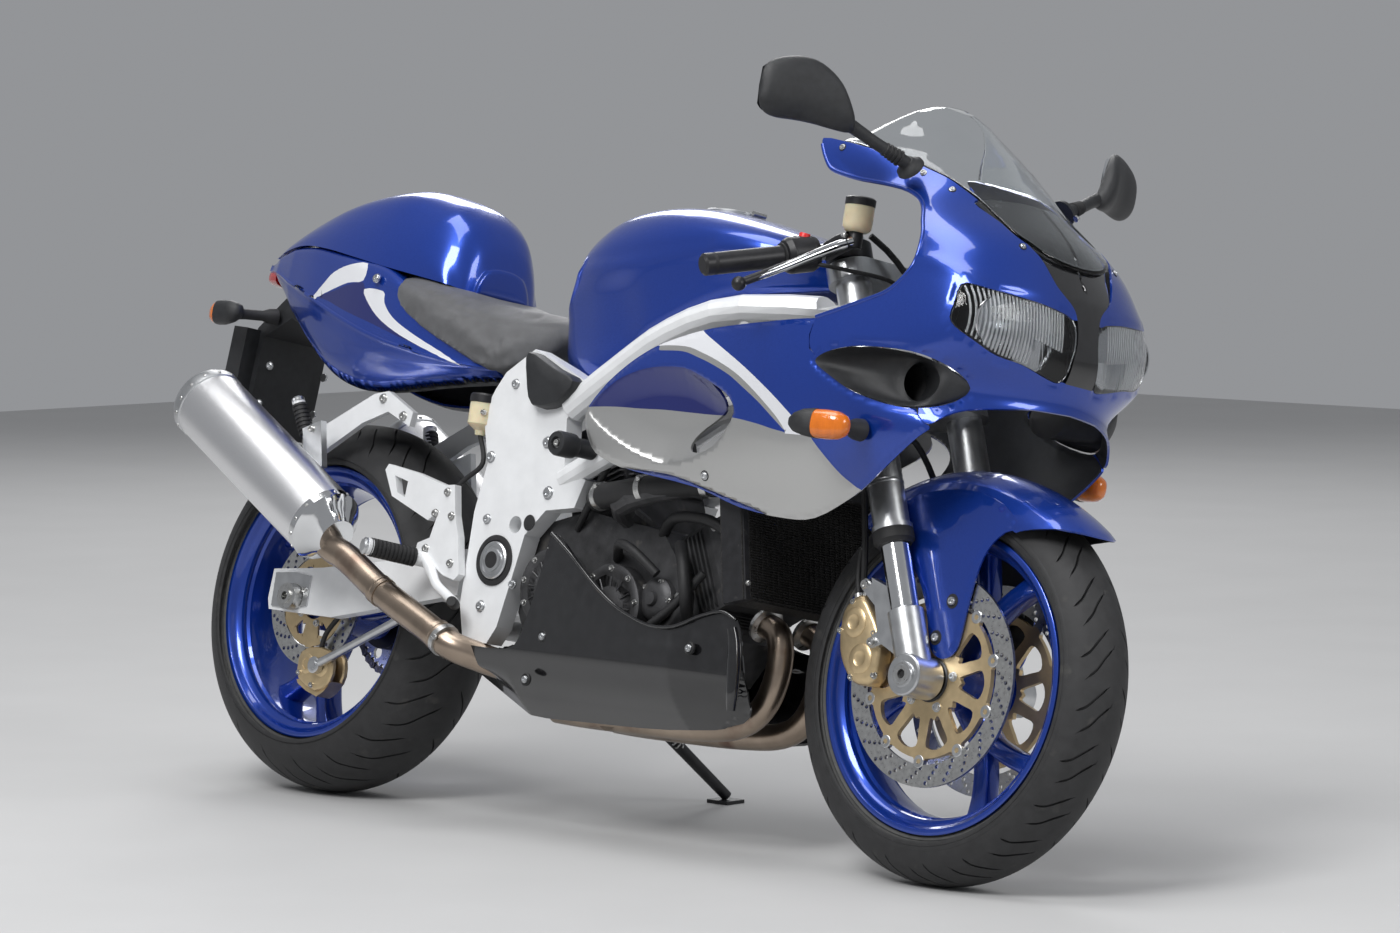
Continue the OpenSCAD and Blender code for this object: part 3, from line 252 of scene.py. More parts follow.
class Kit:
    """Collects shapes in one object; each shape has its own material."""

    def __init__(self, mtx=PARK):
        self.v, self.f, self.m, self.mats, self.mtx = [], [], [], [], mtx

    def slot(self, name):
        """the number of the material with this key"""
        if name not in self.mats:
            self.mats.append(name)
        return self.mats.index(name)

    def add(self, v, f, name, mirror=False):
        """points and faces as they are, and mirrored to the other side of the bike too"""
        for s in ((1, -1) if mirror else (1,)):
            o = len(self.v)
            self.v += [(p[0], s * p[1], p[2]) for p in v]
            self.f += [tuple(o + i for i in (q if s == 1 else q[::-1])) for q in f]
            self.m += [self.slot(name)] * len(f)

    def rings(self, r, name, close=True, caps=True, mirror=False):
        """skin over a list of rings with the same number of points"""
        n, v, f = len(r[0]), [p for q in r for p in q], []
        for i in range(len(r) - 1):
            for j in range(n if close else n - 1):
                a, b = i * n + j, i * n + (j + 1) % n
                f.append((a, b, b + n, a + n))
        if caps:
            for i, rev in ((0, True), (len(r) - 1, False)):
                c = len(v)
                v.append(tuple(sum(p[k] for p in r[i]) / n for k in range(3)))
                for j in range(n):
                    a, b = i * n + j, i * n + (j + 1) % n
                    f.append((b, a, c) if rev else (a, b, c))
        self.add(v, f, name, mirror)

    def spin(self, a, b, prof, name, n=24, mirror=False):
        """profile [(radius, distance from a towards b)] turned about the line a-b"""
        a, b = Vector(a), Vector(b)
        d = (b - a).normalized()
        u = d.cross(Vector((0.31, 0.2, 1)) if abs(d.z) < 0.9 else Vector((1, 0.2, 0))).normalized()
        w = d.cross(u)
        self.rings([[tuple(a + d * h + (u * math.cos(k * math.tau / n) + w * math.sin(k * math.tau / n))
                           * max(r, 0.01)) for k in range(n)] for r, h in prof], name, mirror=mirror)

    def tube(self, p, r, name, n=12, m=5, mirror=False):
        """round bar along a smooth line through p; r is a radius, or a function of 0 to 1 along it"""
        q = [Vector(x) for x in line_of([tuple(map(float, x)) for x in p], m)]
        u, out = None, []
        for i, c in enumerate(q):
            d = (q[min(i + 1, len(q) - 1)] - q[max(i - 1, 0)]).normalized()
            # carry the section's first direction along the line, so that the tube doesn't twist
            u = (d.cross(Vector((0.3, 1, 0.2))) if u is None else u - d * u.dot(d)).normalized()
            w = d.cross(u)
            rad = r(i / (len(q) - 1)) if callable(r) else r
            out.append([tuple(c + (u * math.cos(k * math.tau / n) + w * math.sin(k * math.tau / n)) * rad)
                        for k in range(n)])
        self.rings(out, name, mirror=mirror)

    def bolt(self, p, d, r, name="sat", h=None, mirror=False):
        """dome head screw with a hexagon socket, its head standing on p and facing d"""
        h = h or r * 0.7
        p, d = Vector(p), Vector(d).normalized()
        self.spin(p - d * 2, p + d, [(r * 1.25, 0), (r * 1.25, 2.8), (r, 3), (r, 3 + h * 0.7),
                                     (r * 0.86, 3 + h), (r * 0.5, 3 + h), (r * 0.46, 3 + h * 0.45),
                                     (0, 3 + h * 0.45)], name, 12, mirror)

    def nut(self, p, d, r, name="sat", h=None):
        """hexagon nut with its washer, standing on p and facing d"""
        p, d = Vector(p), Vector(d).normalized()
        h = h or r * 0.8
        self.spin(p - d, p + d, [(r * 1.2, 0), (r * 1.2, 2), (r, 2), (r, 1.4 + h), (r * 0.9, 2 + h),
                                 (0, 2 + h)], name, 6)

    def slab(self, poly, y0, y1, name, holes=()):
        """flat plate with holes: an outline in x and z, from y0 to y1"""
        loops = [list(poly)] + [list(h) for h in holes]
        P, T = triangles(*chained(loops), 1e-5)
        T = T[inside(P[T].mean(axis=1), loops)]
        a, b, cc = P[T[:, 0]], P[T[:, 1]], P[T[:, 2]]
        area = (b[:, 0] - a[:, 0]) * (cc[:, 1] - a[:, 1]) - (b[:, 1] - a[:, 1]) * (cc[:, 0] - a[:, 0])
        T[area < 0] = T[area < 0][:, ::-1]
        n = len(P)
        v = [(p[0], y, p[1]) for y in (y0, y1) for p in P]
        front = [tuple(t) for t in T]
        # an edge that only one triangle has is on the rim
        rim = {(t[i], t[(i + 1) % 3]): 1 for t in front for i in range(3)}
        f = front + [tuple(n + i for i in t[::-1]) for t in front]
        f += [(q, p, p + n, q + n) for p, q in rim if (q, p) not in rim]
        self.add(v, f, name)

    def make(self, name, body, rep=(), slot=None, angle=35):
        """one mesh object of all the shapes, with sharp edges where faces meet at more than the angle"""
        me = bpy.data.meshes.new(name)
        me.from_pydata([self.mtx @ Vector(p) for p in self.v], [], self.f)
        for k in self.mats:
            me.materials.append(M[k])
        me.polygons.foreach_set("material_index", self.m)
        me.validate()
        me.shade_smooth()
        if angle < 180:
            me.set_sharp_from_angle(angle=math.radians(angle))
        return put(name, me, body, rep)


def within(c, poly):
    """which rows of c lie inside the closed polygon"""
    p = np.array([(q[0], q[1]) for q in poly])
    q = np.roll(p, -1, axis=0)
    x, y = c[:, 0][:, None], c[:, 1][:, None]
    with np.errstate(divide="ignore", invalid="ignore"):
        hit = ((p[:, 1] > y) != (q[:, 1] > y)) & (x < (q[:, 0] - p[:, 0])
                                                  * (y - p[:, 1]) / (q[:, 1] - p[:, 1]) + p[:, 0])
    return hit.sum(axis=1) % 2 == 1


def gap(c, line, closed=False):
    """distance of each row of c from the polyline"""
    p = np.array([(q[0], q[1]) for q in line], float)
    q = np.roll(p, -1, axis=0)
    if not closed:
        p, q = p[:-1], q[:-1]
    d = q - p
    w = c[:, None, :] - p[None]
    t = np.clip((w * d).sum(axis=2) / np.maximum((d * d).sum(axis=1), 1e-9), 0, 1)
    return np.sqrt((((w - t[..., None] * d) ** 2).sum(axis=2)).min(axis=1))


def dense(p, h, closed=True):
    """the line with points added until none are further apart than h"""
    out = []
    for i in range(len(p) if closed else len(p) - 1):
        a, b = p[i], p[(i + 1) % len(p)]
        n = max(1, math.ceil(math.dist(a, b) / h))
        out += [(a[0] + (b[0] - a[0]) * k / n, a[1] + (b[1] - a[1]) * k / n) for k in range(n)]
    return out if closed else out + [tuple(p[-1])]


def trimmed(loops, lines, h):
    """points and triangles about h apart inside the first loop, outside the others and cut along the lines"""
    pts, edges = chained(loops)
    for ln in lines:
        o = len(pts)
        pts += ln
        edges += [(o + i, o + i + 1) for i in range(len(ln) - 1)]
    A = np.array(loops[0])
    lo, hi = A.min(axis=0), A.max(axis=0)
    gx, gy = np.arange(lo[0] + h / 2, hi[0], h), np.arange(lo[1] + h / 2, hi[1], h)
    G = np.array([(x + (h / 2 if j % 2 else 0), y) for j, y in enumerate(gy) for x in gx])
    if len(G):
        ok = within(G, loops[0])
        for lp in loops:
            ok &= gap(G, lp, True) > h * 0.45
        for ln in lines:
            ok &= gap(G, ln) > h * 0.45
        pts += [tuple(p) for p in G[ok]]
    V, T = triangles(pts, edges, 1e-4)
    T = T[inside(V[T].mean(axis=1), loops)]
    used = np.unique(T)
    remap = -np.ones(len(V), int)
    remap[used] = np.arange(len(used))
    return V[used], remap[T]


def on_surface(P, UV, relief, out, sx, du):
    """places and normals of the rows of UV on the surface P, raised by the relief"""
    def S(u, v):
        return Vector(P(u, v))
    dv, e = 0.8, 1.5
    pos, nor = [], []
    for u, v in UV:
        p = S(u, v)
        n = (S(u + du, v) - S(u - du, v)).cross(S(u, v + dv) - S(u, v - dv))
        if n.length < 1e-9:
            n = Vector(out(p))
        n.normalize()
        pos.append(p)
        nor.append(-n if n.dot(Vector(out(p))) < 0 else n)
    if relief:
        amount = relief(UV)
        gu = (relief(UV + np.array([e / sx, 0])) - relief(UV - np.array([e / sx, 0]))) / 2
        gv = (relief(UV + np.array([0, e])) - relief(UV - np.array([0, e]))) / 2
        for i, (u, v) in enumerate(UV):
            a = (S(u + e / sx, v) - S(u - e / sx, v)) / 2 + nor[i] * gu[i]
            b = (S(u, v + e) - S(u, v - e)) / 2 + nor[i] * gv[i]
            n = a.cross(b).normalized()
            flat = nor[i].copy()
            nor[i] = n if n.dot(flat) > 0 else -n
            pos[i] = pos[i] + flat * float(amount[i])
    return pos, nor


def panel(name, P, outline, mats, body="chassis", holes=(), cuts=(), paint=None, h=9.0, t=4.0, rep=(),
          relief=None, out=lambda p: (0, p[1], 0), sx=1.0, du=0.5, mtx=PARK):
    """A curved panel of thickness t on the surface P(u, v), trimmed by an outline and holes in (u, v).
    cuts are colour borders that edges follow, and paint gives each triangle its material."""
    def scaled(lp):
        return [(p[0] * sx, p[1]) for p in lp]
    loops = [dense(scaled(outline), h)] + [dense(scaled(q), h * 0.7) for q in holes]
    V, T = trimmed(loops, [dense(scaled(q), h, False) for q in cuts], h)
    c = V[T].mean(axis=1)
    pos, nor = on_surface(P, V / np.array([sx, 1.0]), relief, out, sx, du)
    idx = paint(np.column_stack([c[:, 0] / sx, c[:, 1]])) if paint else np.zeros(len(T), int)
    faces, fm, rim = [], [], {}
    for q, k in zip(T, idx):
        q = tuple(int(x) for x in q)
        g = (pos[q[1]] - pos[q[0]]).cross(pos[q[2]] - pos[q[0]])
        if g.dot(nor[q[0]] + nor[q[1]] + nor[q[2]]) < 0:
            q = q[::-1]
        faces.append(q)
        fm.append(int(k))
        for i in range(3):
            rim[(q[i], q[(i + 1) % 3])] = int(k)
    # the inner face, and the rim between the two; painted panels are black plastic inside, which also paints
    # the shade in their dark insides
    n = len(pos)
    back = [tuple(n + i for i in q[::-1]) for q in faces]
    sides = [((b, a, a + n, b + n), k) for (a, b), k in rim.items() if (b, a) not in rim]
    normals = [nor[i] for q in faces for i in q] + [-nor[i - n] for q in back for i in q]
    pos += [p - q * t for p, q in zip(pos, nor)]
    for q, k in sides:
        normals += [(pos[q[1]] - pos[q[0]]).cross(pos[q[3]] - pos[q[0]]).normalized()] * 4
    # black inner faces: painted shade inside the blue panels
    shaded_inside = ["plastic"] if mats[0] == "blue" else []
    me = bpy.data.meshes.new(name)
    me.from_pydata([mtx @ p for p in pos], [], faces + back + [q for q, k in sides])
    for k in mats + shaded_inside:
        me.materials.append(M[k])
    inner = [len(mats)] * len(fm) if shaded_inside else fm
    me.polygons.foreach_set("material_index", fm + inner + [k for q, k in sides])
    me.shade_smooth()
    rot = mtx.to_3x3()
    me.normals_split_custom_set([(rot @ q).normalized() for q in normals])
    return put(name, me, body, rep)


def step(d, a, b):
    """0 below a, 1 above b, and smooth between them"""
    s = np.clip((d - a) / (b - a), 0, 1)
    return s * s * (3 - 2 * s)


# ------------------------------------------------------- fairing surface
# Rows are ROW_STEP apart in height from ROW_LOW up. Each has its half width at places COL_STEP apart in x,
# how far forward the nose reaches, where it starts to close, how square that is and how much it pinches.
ROW_LOW, ROW_STEP, COL_STEP = 480, 60, 150
SKIN_WIDTH = [(190, 196, 196, 190, 165), (205, 214, 216, 208, 190), (217, 230, 234, 230, 213),
              (226, 240, 246, 245, 231), (228, 243, 251, 252, 240), (220, 236, 246, 250, 241),
              (205, 222, 236, 242, 233), (190, 208, 224, 231, 219), (178, 192, 205, 212, 200),
              (162, 170, 180, 182, 165), (150, 158, 168, 169, 120), (140, 148, 152, 140, 80)]
SKIN_NOSE = [840, 850, 858, 858, 830, 845, 841, 824, 790, 720, 648, 564]
SKIN_CLOSE = [600, 600, 600, 600, 600, 600, 600, 600, 600, 512, 425, 425]
SKIN_SQUARE = [2, 2.1, 2.3, 2.6, 2.8, 5.2, 7, 5, 2.8, 2.2, 2.2, 2.2]
SKIN_PINCH = [0, 0, 0.03, 0.05, 0.19, 0.1, 0.06, 0.05, 0.02, 0, 0, 0]


def skin_at(x, z):
    """half width of the fairing at x and height z"""
    r = (z - ROW_LOW) / ROW_STEP
    row, xn, xc = run(SKIN_WIDTH, r), run(SKIN_NOSE, r), run(SKIN_CLOSE, r)
    if x <= xc:
        return run(row, x / COL_STEP)
    s = (x - xc) / (xn - xc)
    return 0.0 if s >= 1 else run(row, xc / COL_STEP) * (1 - run(SKIN_PINCH, r) * s) * math.sqrt(1
            - s ** run(SKIN_SQUARE, r))


def nose(u, z, d=0.0):
    """Place on the nose: |u| is 0 at its middle and 90 where the closing starts, then 4 mm a unit.
    u above 0 is the right side, and d is the depth under the skin."""
    r = (z - ROW_LOW) / ROW_STEP
    xn, xc, q, row = run(SKIN_NOSE, r), run(SKIN_CLOSE, r), abs(u), run(SKIN_WIDTH, r)
    if q <= 90:
        s = math.sin(math.radians(90 - q)) ** (2 / run(SKIN_SQUARE, r)) if q < 90 else 0.0
        x = xc + (xn - xc) * s
        y = run(row, xc / COL_STEP) * (1 - run(SKIN_PINCH, r) * s) * math.sin(math.radians(q))
    else:
        x = xc - (q - 90) * 4
        y = run(row, x / COL_STEP)
    y = max(0, y - d)
    return (x - d * 0.7, -y if u > 0 else y, z)


def u_side(x, z):
    """the u of the place that is seen at x from the side"""
    r = (z - ROW_LOW) / ROW_STEP
    xn, xc = run(SKIN_NOSE, r), run(SKIN_CLOSE, r)
    if x <= xc:
        return 90 + (xc - x) / 4
    return 90 - math.degrees(math.asin(min(1, ((x - xc) / (xn - xc)) ** (run(SKIN_SQUARE, r) / 2))))


def u_front(y, z):
    """the u of the place that is seen at y from the front"""
    lo, hi = bisect(lambda u: -nose(u, z)[1] < abs(y), 0.0, 125.0, 26)
    return -(lo + hi) / 2 if y > 0 else (lo + hi) / 2


def skin(x, z):
    """place on the right side, and below on the left side"""
    return (x, -skin_at(x, z), z)


def skin_left(x, z):
    return (x, skin_at(x, z), z)


# outlines of the painted panels, in x and z
NOSE = [(518, 807), (607, 839), (643, 855), (666, 881), (674, 905), (670, 940), (655, 966), (628, 998),
        (582, 1019), (505, 1029), (454, 1039), (431, 1050), (407, 1082), (418, 1093), (563, 1066),
        (596, 1055), (632, 1042), (664, 1025), (689, 1011), (741, 978), (786, 948), (850, 905), (900, 870)]
UNDER = [(900, 714), (832, 712), (806, 704), (773, 693), (755, 680), (738, 663), (720, 676), (700, 708),
         (600, 734), (546, 742), (520, 760), (515, 780)]
SIDE = [(36, 640), (69, 679), (116, 713), (169, 743), (220, 762), (301, 782), (423, 797), (519, 806),
        (560, 800), (700, 700), (738, 663), (722, 642), (660, 590), (624, 563), (589, 543), (524, 513),
        (470, 508), (380, 517), (291, 541), (154, 558), (93, 571), (54, 591)]


DUCT = [(531, 742), (558, 759), (614, 768), (702, 765), (753, 749), (769, 724), (744, 695), (692, 684),
        (611, 699), (558, 723)]
# outlines round the lamps, in y and z
LAMP = [(218, 830), (206, 872), (183, 872), (135, 868), (85, 864), (34, 852), (26, 820), (31, 789),
        (38, 757), (60, 755), (116, 768), (158, 774), (190, 789), (214, 807)]
BASE = [(30, 756), (28, 789), (23, 820), (25, 852), (33, 870), (52, 886), (62, 896), (70, 910), (81, 933),
        (92, 947), (105, 965), (116, 985), (122, 1006), (100, 1016), (45, 1021), (0, 1019)]


def away_from_nose(p):
    return (0.4 * (p[0] - 500), p[1], 0)


def mirror_u(lp):
    return [(-u, z) for u, z in lp]


line = dense(line_of(NOSE, 3), 12, False)
under = dense(line_of(UNDER, 3), 12, False)
right = [(u_side(x, z), z) for x, z in line]
low = [(u_side(x, z), z) for x, z in under]
right = [p for i, p in enumerate(right) if p[0] > 0.3 or i < 5] + [(0.0, 905.0)]
low = [(0.0, 713.0)] + [p for p in low if p[0] > 0.3]
outline = right[:-1] + mirror_u(right[:-1])[::-1] + mirror_u(low[1:])[::-1] + low
lamp = loop_of(LAMP, 3)
lamp_uv = [(u_front(-y, z), z) for y, z in dense(lamp, 8)]
base = line_of(BASE, 3)
base = base + [(-y, z) for y, z in base[::-1]]
base_uv = [(u_front(y, z), z) for y, z in dense(base, 8)]
mid_uv = [(u_front(y, z), z) for y, z in dense([(-40, 757), (40, 757), (40, 852), (-40, 852)], 8)]
duct_uv = [(u_side(x, z), z) for x, z in loop_of(DUCT, 3)]


def nose_relief(uv):
    r = np.zeros(len(uv))
    au = np.column_stack([np.abs(uv[:, 0]) * 4, uv[:, 1]])
    # rolled lip round the lamps, the air duct and the rear edge
    for lp, w in ((lamp_uv, 9), (duct_uv, 10)):
        d = gap(au, [(abs(p[0]) * 4, p[1]) for p in lp], True)
        r -= 3.0 * (1 - step(d, 0, w))
    # brow that runs back from the lamps
    d = gap(au, [(u_side(x, z) * 4, z) for x, z in [(790, 872), (740, 893), (690, 905), (674, 905)]])
    r += 2.5 * np.exp(-(d / 14) ** 2)
    return r


panel("nose_panel", nose, outline, ["blue"],
      holes=[lamp_uv, mirror_u(lamp_uv), base_uv, mid_uv, duct_uv, mirror_u(duct_uv)], h=9, t=4,
      rep=("nose_cowl",), relief=nose_relief, out=away_from_nose, sx=4.0, du=0.25)


# side fairings, with their stripes
side = loop_of(SIDE, 3)
STRIPE_T = [(282, 781), (294, 774), (357, 744), (389, 728), (419, 711), (457, 687), (488, 664), (528, 632)]
STRIPE_B = [(190, 752), (257, 752), (299, 743), (341, 730), (382, 713), (417, 692), (445, 672),
            (468, 653), (486, 632)]
THIN = [(203, 744), (254, 744), (290, 736), (322, 727), (363, 712), (393, 696), (427, 676), (455, 656),
        (486, 632)]
BELT = [(20, 650), (48, 652), (103, 654), (156, 653), (207, 653), (256, 651), (304, 649), (342, 649),
        (379, 648), (406, 645), (433, 641), (459, 636), (486, 632)]
BOUND = [(528, 632), (547, 611), (581, 580), (614, 560), (640, 540)]
SLIVER = [(128, 562), (152, 561), (206, 560), (245, 557), (278, 551), (309, 543), (345, 535), (387, 525),
          (425, 514), (440, 500)]
OVAL = [(48, 655), (78, 676), (113, 696), (148, 708), (177, 715), (212, 719), (262, 719), (297, 710),
        (328, 699), (358, 686), (373, 674), (380, 661), (377, 648), (361, 625), (333, 601), (295, 586),
        (256, 577), (223, 575), (189, 582), (148, 593), (95, 615), (56, 636)]
VENT = [(328, 697), (357, 685), (372, 673), (378, 661), (375, 648), (359, 625), (332, 603), (304, 593),
        (285, 592), (275, 598), (278, 611), (297, 628), (320, 642), (339, 656), (345, 669), (340, 684)]
st, sb = line_of(STRIPE_T, 4), line_of(STRIPE_B, 4)
thin, belt, bound, sliver = line_of(THIN, 4), line_of(BELT, 4), line_of(BOUND, 4), line_of(SLIVER, 4)
oval, vent = loop_of(OVAL, 2), loop_of(VENT, 2)
stripe = st + sb[::-1]
silver = belt + bound + [(640, 480), (440, 480)] + sliver[::-1] + [(60, 560), (10, 600)]


def paint_side(c):
    """0 blue, 1 white stripe, 2 silver, 3 navy on the top of the dish, painted shade where it faces down"""
    k = np.where(within(c, stripe), 1, np.where(within(c, silver) | within(c, sb + thin[::-1]), 2, 0))
    # the dish's upper part gets navy as painted shade; the tail's navy patch is real paint
    return np.where(within(c, oval) & ~within(c, silver) & (k == 0), 3, k)


def side_relief(uv):
    """the dish sinks towards the vent, the silver stands proud, and all the edges roll in"""
    d = gap(uv, oval, True)
    inn = within(uv, oval)
    deep = 7 + 21 * np.clip((uv[:, 0] - 60) / 250, 0, 1)
    s1 = np.clip(d / 50, 0, 1)
    r = np.where(inn, -deep * (1 - (1 - s1) ** 1.7), 0.0)
    b = gap(uv, belt + bound)
    r = r + np.where(within(uv, silver) & ~inn, 2.0 * (1 - np.exp(-b / 9)), 0)
    r -= 3.0 * (1 - step(gap(uv, loop_of(DUCT, 2), True), 0, 10))
    return r - 3.0 * (1 - step(gap(uv, side, True), 0, 9))


nose_cut = [(x, z - 1.5) for x, z in [(518, 807), (607, 839), (643, 855), (700, 900), (900, 900),
                                      (900, 714), (832, 712), (806, 704), (773, 693), (755, 680),
                                      (738, 662), (720, 675), (700, 707), (600, 733), (546, 741),
                                      (518, 760), (513, 780)]]
for label, fn, dy in (("side_fairing_right", skin, -1), ("side_fairing_left", skin_left, 1)):
    panel(label + "_panel", fn, side, ["blue", "stripe", "silver", "navy_paint_and_shade"],
          holes=[vent, nose_cut, loop_of(DUCT, 3)],
          cuts=[st, sb[:-1], thin[:-1], belt[:-1], bound, sliver, oval + oval[:1]], paint=paint_side, h=6,
          t=4, rep=(label,), relief=side_relief, out=lambda p, s=dy: (0, s, 0), du=1.5)


# belly pan
PAN = [(-50, 455), (0, 425), (50, 390), (100, 360), (150, 340), (200, 328), (250, 330), (285, 348),
       (325, 362), (352, 352), (368, 300), (376, 220), (330, 190), (200, 175), (0, 170), (-120, 170),
       (-200, 190), (-262, 205), (-262, 262), (-120, 266), (-84, 300), (-60, 400)]


def pan(x, v, s=-1):
    """place on the belly pan; v runs from the top edge, 480 high, down to the keel"""
    pz, w = 168 + max(0, -120 - x) * 0.42, 176 - max(0, x - 250) * 0.3
    pts = [(-w, 480), (-w, 300), (-w + 12, 240), (-w + 45, pz + 30), (-w + 85, pz)]
    y, z = run(pts, v) if v > 1 else (-w, 480 - 180 * v)
    return (x, -s * y, z)


def pan_v(x, z):
    """the v of the place at x and height z"""
    if z >= 300:
        return (480 - z) / 180
    return sum(bisect(lambda v: pan(x, v)[2] > z, 1.0, 4.0)) / 2


pan_edge = [(x, pan_v(x, z) * 80) for x, z in dense(loop_of(PAN, 3), 9)]
pan_top = [(x, pan_v(x, z) * 80) for x, z in dense(line_of(PAN[:13], 3), 9, False)]


def pan_relief(uv):
    d = gap(uv, pan_top)
    return -3.5 * (1 - step(d, 10, 15)) - 1.5 * (1 - step(d, 0, 4))


for s, label in ((-1, "right"), (1, "left")):
    panel("belly_pan_" + label, lambda x, v, s=s: pan(x, v / 80, s), pan_edge, ["gloss"], h=8, t=4,
          rep=("belly_pan",), relief=pan_relief, out=lambda p, s=s: (0, s, -0.4),
          du=1.5)


def pan_edges():
    pk = Kit()
    for s in (-1, 1):
        edge = [pan(x, pan_v(x, z), s) for x, z in line_of(PAN[:10], 2)]
        pk.tube([(x, y + s * 0.6, z) for x, y, z in edge], 2.6, "gloss", 10, 2)
        pk.tube([(363, s * 163, 338), (369, s * 160, 316), (374, s * 158, 280), (377, s * 156, 240),
                 (374, s * 150, 216)], lambda t: 11 - 3 * abs(2 * t - 1), "gloss", 18, 5)
    pk.make("pan_edges", "chassis", slot="black_gloss", angle=50)


pan_edges()


def cockpit_lip():
    nk = Kit()
    nk.tube([(x, -skin_at(x, z) + 1.2, z) for x, z in line_of(NOSE[:13], 2)], 3.6, "blue", 12, 2,
            mirror=True)
    nk.make("cockpit_lip", "chassis", slot="plastic_blue", angle=60)


cockpit_lip()

# windscreen: rows of height, x of the side edge, half width there and x of the middle
SCREEN = [(1080, 425, 169, 648), (1095, 440, 151, 630), (1107, 457, 132, 615), (1125, 476, 115, 589),
          (1140, 491, 98, 566), (1155, 502, 76, 547), (1166, 509, 50, 532), (1172, 513, 24, 523)]
CUTLINE = [(383, 1094), (418, 1095), (563, 1068), (596, 1057), (632, 1044), (664, 1027), (689, 1013),
           (741, 980), (786, 950), (806, 933), (816, 925), (900, 880)]


def screen_row(z):
    """the row of SCREEN at height z"""
    i = next((k for k in range(len(SCREEN) - 2, -1, -1) if z >= SCREEN[k][0]), 0)
    return run(SCREEN, i + (z - SCREEN[i][0]) / (SCREEN[i + 1][0] - SCREEN[i][0]))


def screen_p(f, z):
    """place on the screen; f is 0 at the side edge and 1 at the middle"""
    s = screen_row(max(1080, z))
    hi = (s[1] + (s[3] - s[1]) * f, s[2] * math.sqrt(max(0, 1 - f ** 2.2)))
    if z >= 1080:
        return (hi[0], hi[1], z)
    zz = min(z, 1063)
    xn = run(SKIN_NOSE, (zz - ROW_LOW) / ROW_STEP)
    x = 425 + (xn - 425) * f
    lo = (x, skin_at(x, zz))
    k = 0 if z <= 1063 else (z - 1063) / 17
    return (lo[0] + (hi[0] - lo[0]) * k, lo[1] + (hi[1] - lo[1]) * k, z)


def screen_cut(x):
    """height of the painted edge that the screen stands on"""
    for a, b in zip(CUTLINE, CUTLINE[1:]):
        if x <= b[0]:
            return a[1] + (b[1] - a[1]) * (x - a[0]) / (b[0] - a[0])
    return CUTLINE[-1][1]


cols, rows = 34, 34
grid = []
for j in range(cols + 1):
    f = math.sin(math.radians(90 * j / cols)) ** 0.9 if j else 0.0
    lo, hi = bisect(lambda z: z < screen_cut(screen_p(f, z)[0]), 905.0, 1110.0, 22)
    grid.append([screen_p(f, lo + (1171.5 - lo) * (i / rows)) for i in range(rows + 1)])
full = [[(x, -y, z) for x, y, z in c] for c in grid] + [[(x, y, z) for x, y, z in c] for c in grid[-2::-1]]
v = [Vector(p) for c in full for p in c]
nr = len(full[0])
f1 = [(a * nr + b, (a + 1) * nr + b, (a + 1) * nr + b + 1, a * nr + b + 1) for a in range(len(full) - 1)
      for b in range(nr - 1)]
me = bpy.data.meshes.new("screen_shell")
me.from_pydata([PARK @ p for p in v], [], f1)
me.materials.append(M["glass"])
me.shade_smooth()
thick = put("screen_shell", me, "chassis", ("windscreen",)).modifiers.new("thick", "SOLIDIFY")
thick.thickness, thick.offset = 0.003, -1


# black piece under the screen and between the lamps
def drop(z):
    """how far the black piece lies under the painted skin"""
    return max(0, min(11, (z - 880) / 45 * 8 if z < 925 else 8 + (z - 925) / 115 * 3))


panel("screen_base_panel", lambda u, z: nose(u, z, drop(z)), base_uv, ["gloss"], h=9, t=4,
      rep=("screen_base",), out=away_from_nose, sx=4.0, du=0.25)


# headlamps: lens, dark housing, bright dishes and bulbs
lens_in = [(u_front(-y, z), z) for y, z in dense([(122 + (y - 122) * 0.985, 815 + (z - 815) * 0.97)
                                                  for y, z in lamp], 8)]
for s in (1, -1):
    lp = lens_in if s == 1 else mirror_u(lens_in)
    panel("lens_" + ("right" if s == 1 else "left"), lambda u, z: nose(u, z, 2.5), lp, ["lens"], h=8, t=3,
          rep=("headlight",), out=away_from_nose, sx=4.0, du=0.25)
    panel("lamp_back_" + ("right" if s == 1 else "left"), lambda u, z: nose(u, z, 46), lp, ["black"],
          h=10, t=2, out=away_from_nose, sx=4.0, du=0.25)


def lamp_dishes():
    lk = Kit()
    for y, z, r, x in ((-92, 812, 47, 812), (-158, 824, 36, 796)):
        prof = [(r, 0), (r * 0.985, -3), (r * 0.9, -13), (r * 0.72, -24), (r * 0.45, -33),
                (r * 0.16, -36), (0, -36)]
        lk.spin((x, y, z), (x + 10, y, z), [(r + 2.5, -2), (r + 2.5, 1), (r, 1)] + prof, "chrome", 40,
                mirror=True)
        lk.spin((x - 36, y, z), (x, y, z),
                [(0, 0), (7, 0), (7, 8), (5.5, 10), (5.5, 24), (3, 29), (0, 30)], "sat", 16, mirror=True)
    # the housing wall joins lens and back
    wall = [nose(u, z, 3) for u, z in lens_in]
    wall2 = [nose(u, z, 48) for u, z in lens_in]
    lk.rings([wall, wall2], "black", caps=False, mirror=True)
    lamp_ring = dense(lamp, 3)
    for i in range(27):
        y = 58 + i * 5.6
        zs = [z + (z2 - z) * (y - q) / (q2 - q)
              for (q, z), (q2, z2) in zip(lamp_ring, lamp_ring[1:] + lamp_ring[:1])
              if (q - y) * (q2 - y) < 0]
        if len(zs) < 2 or max(zs) - min(zs) < 14:
            continue
        a, b = min(zs) + 4, max(zs) - 4
        lo2 = a + (b - a) * (0.42 if y < 112 else 0)
        line = [nose(u_front(-y, z), z, 6.5) for z in (lo2 + (b - lo2) * t / 5 for t in range(6))]
        lk.tube(line, 1.9, "flute", 8, 1, mirror=True)
    lk.make("lamp_dishes", "chassis", slot="lamp_glass", angle=50)


lamp_dishes()


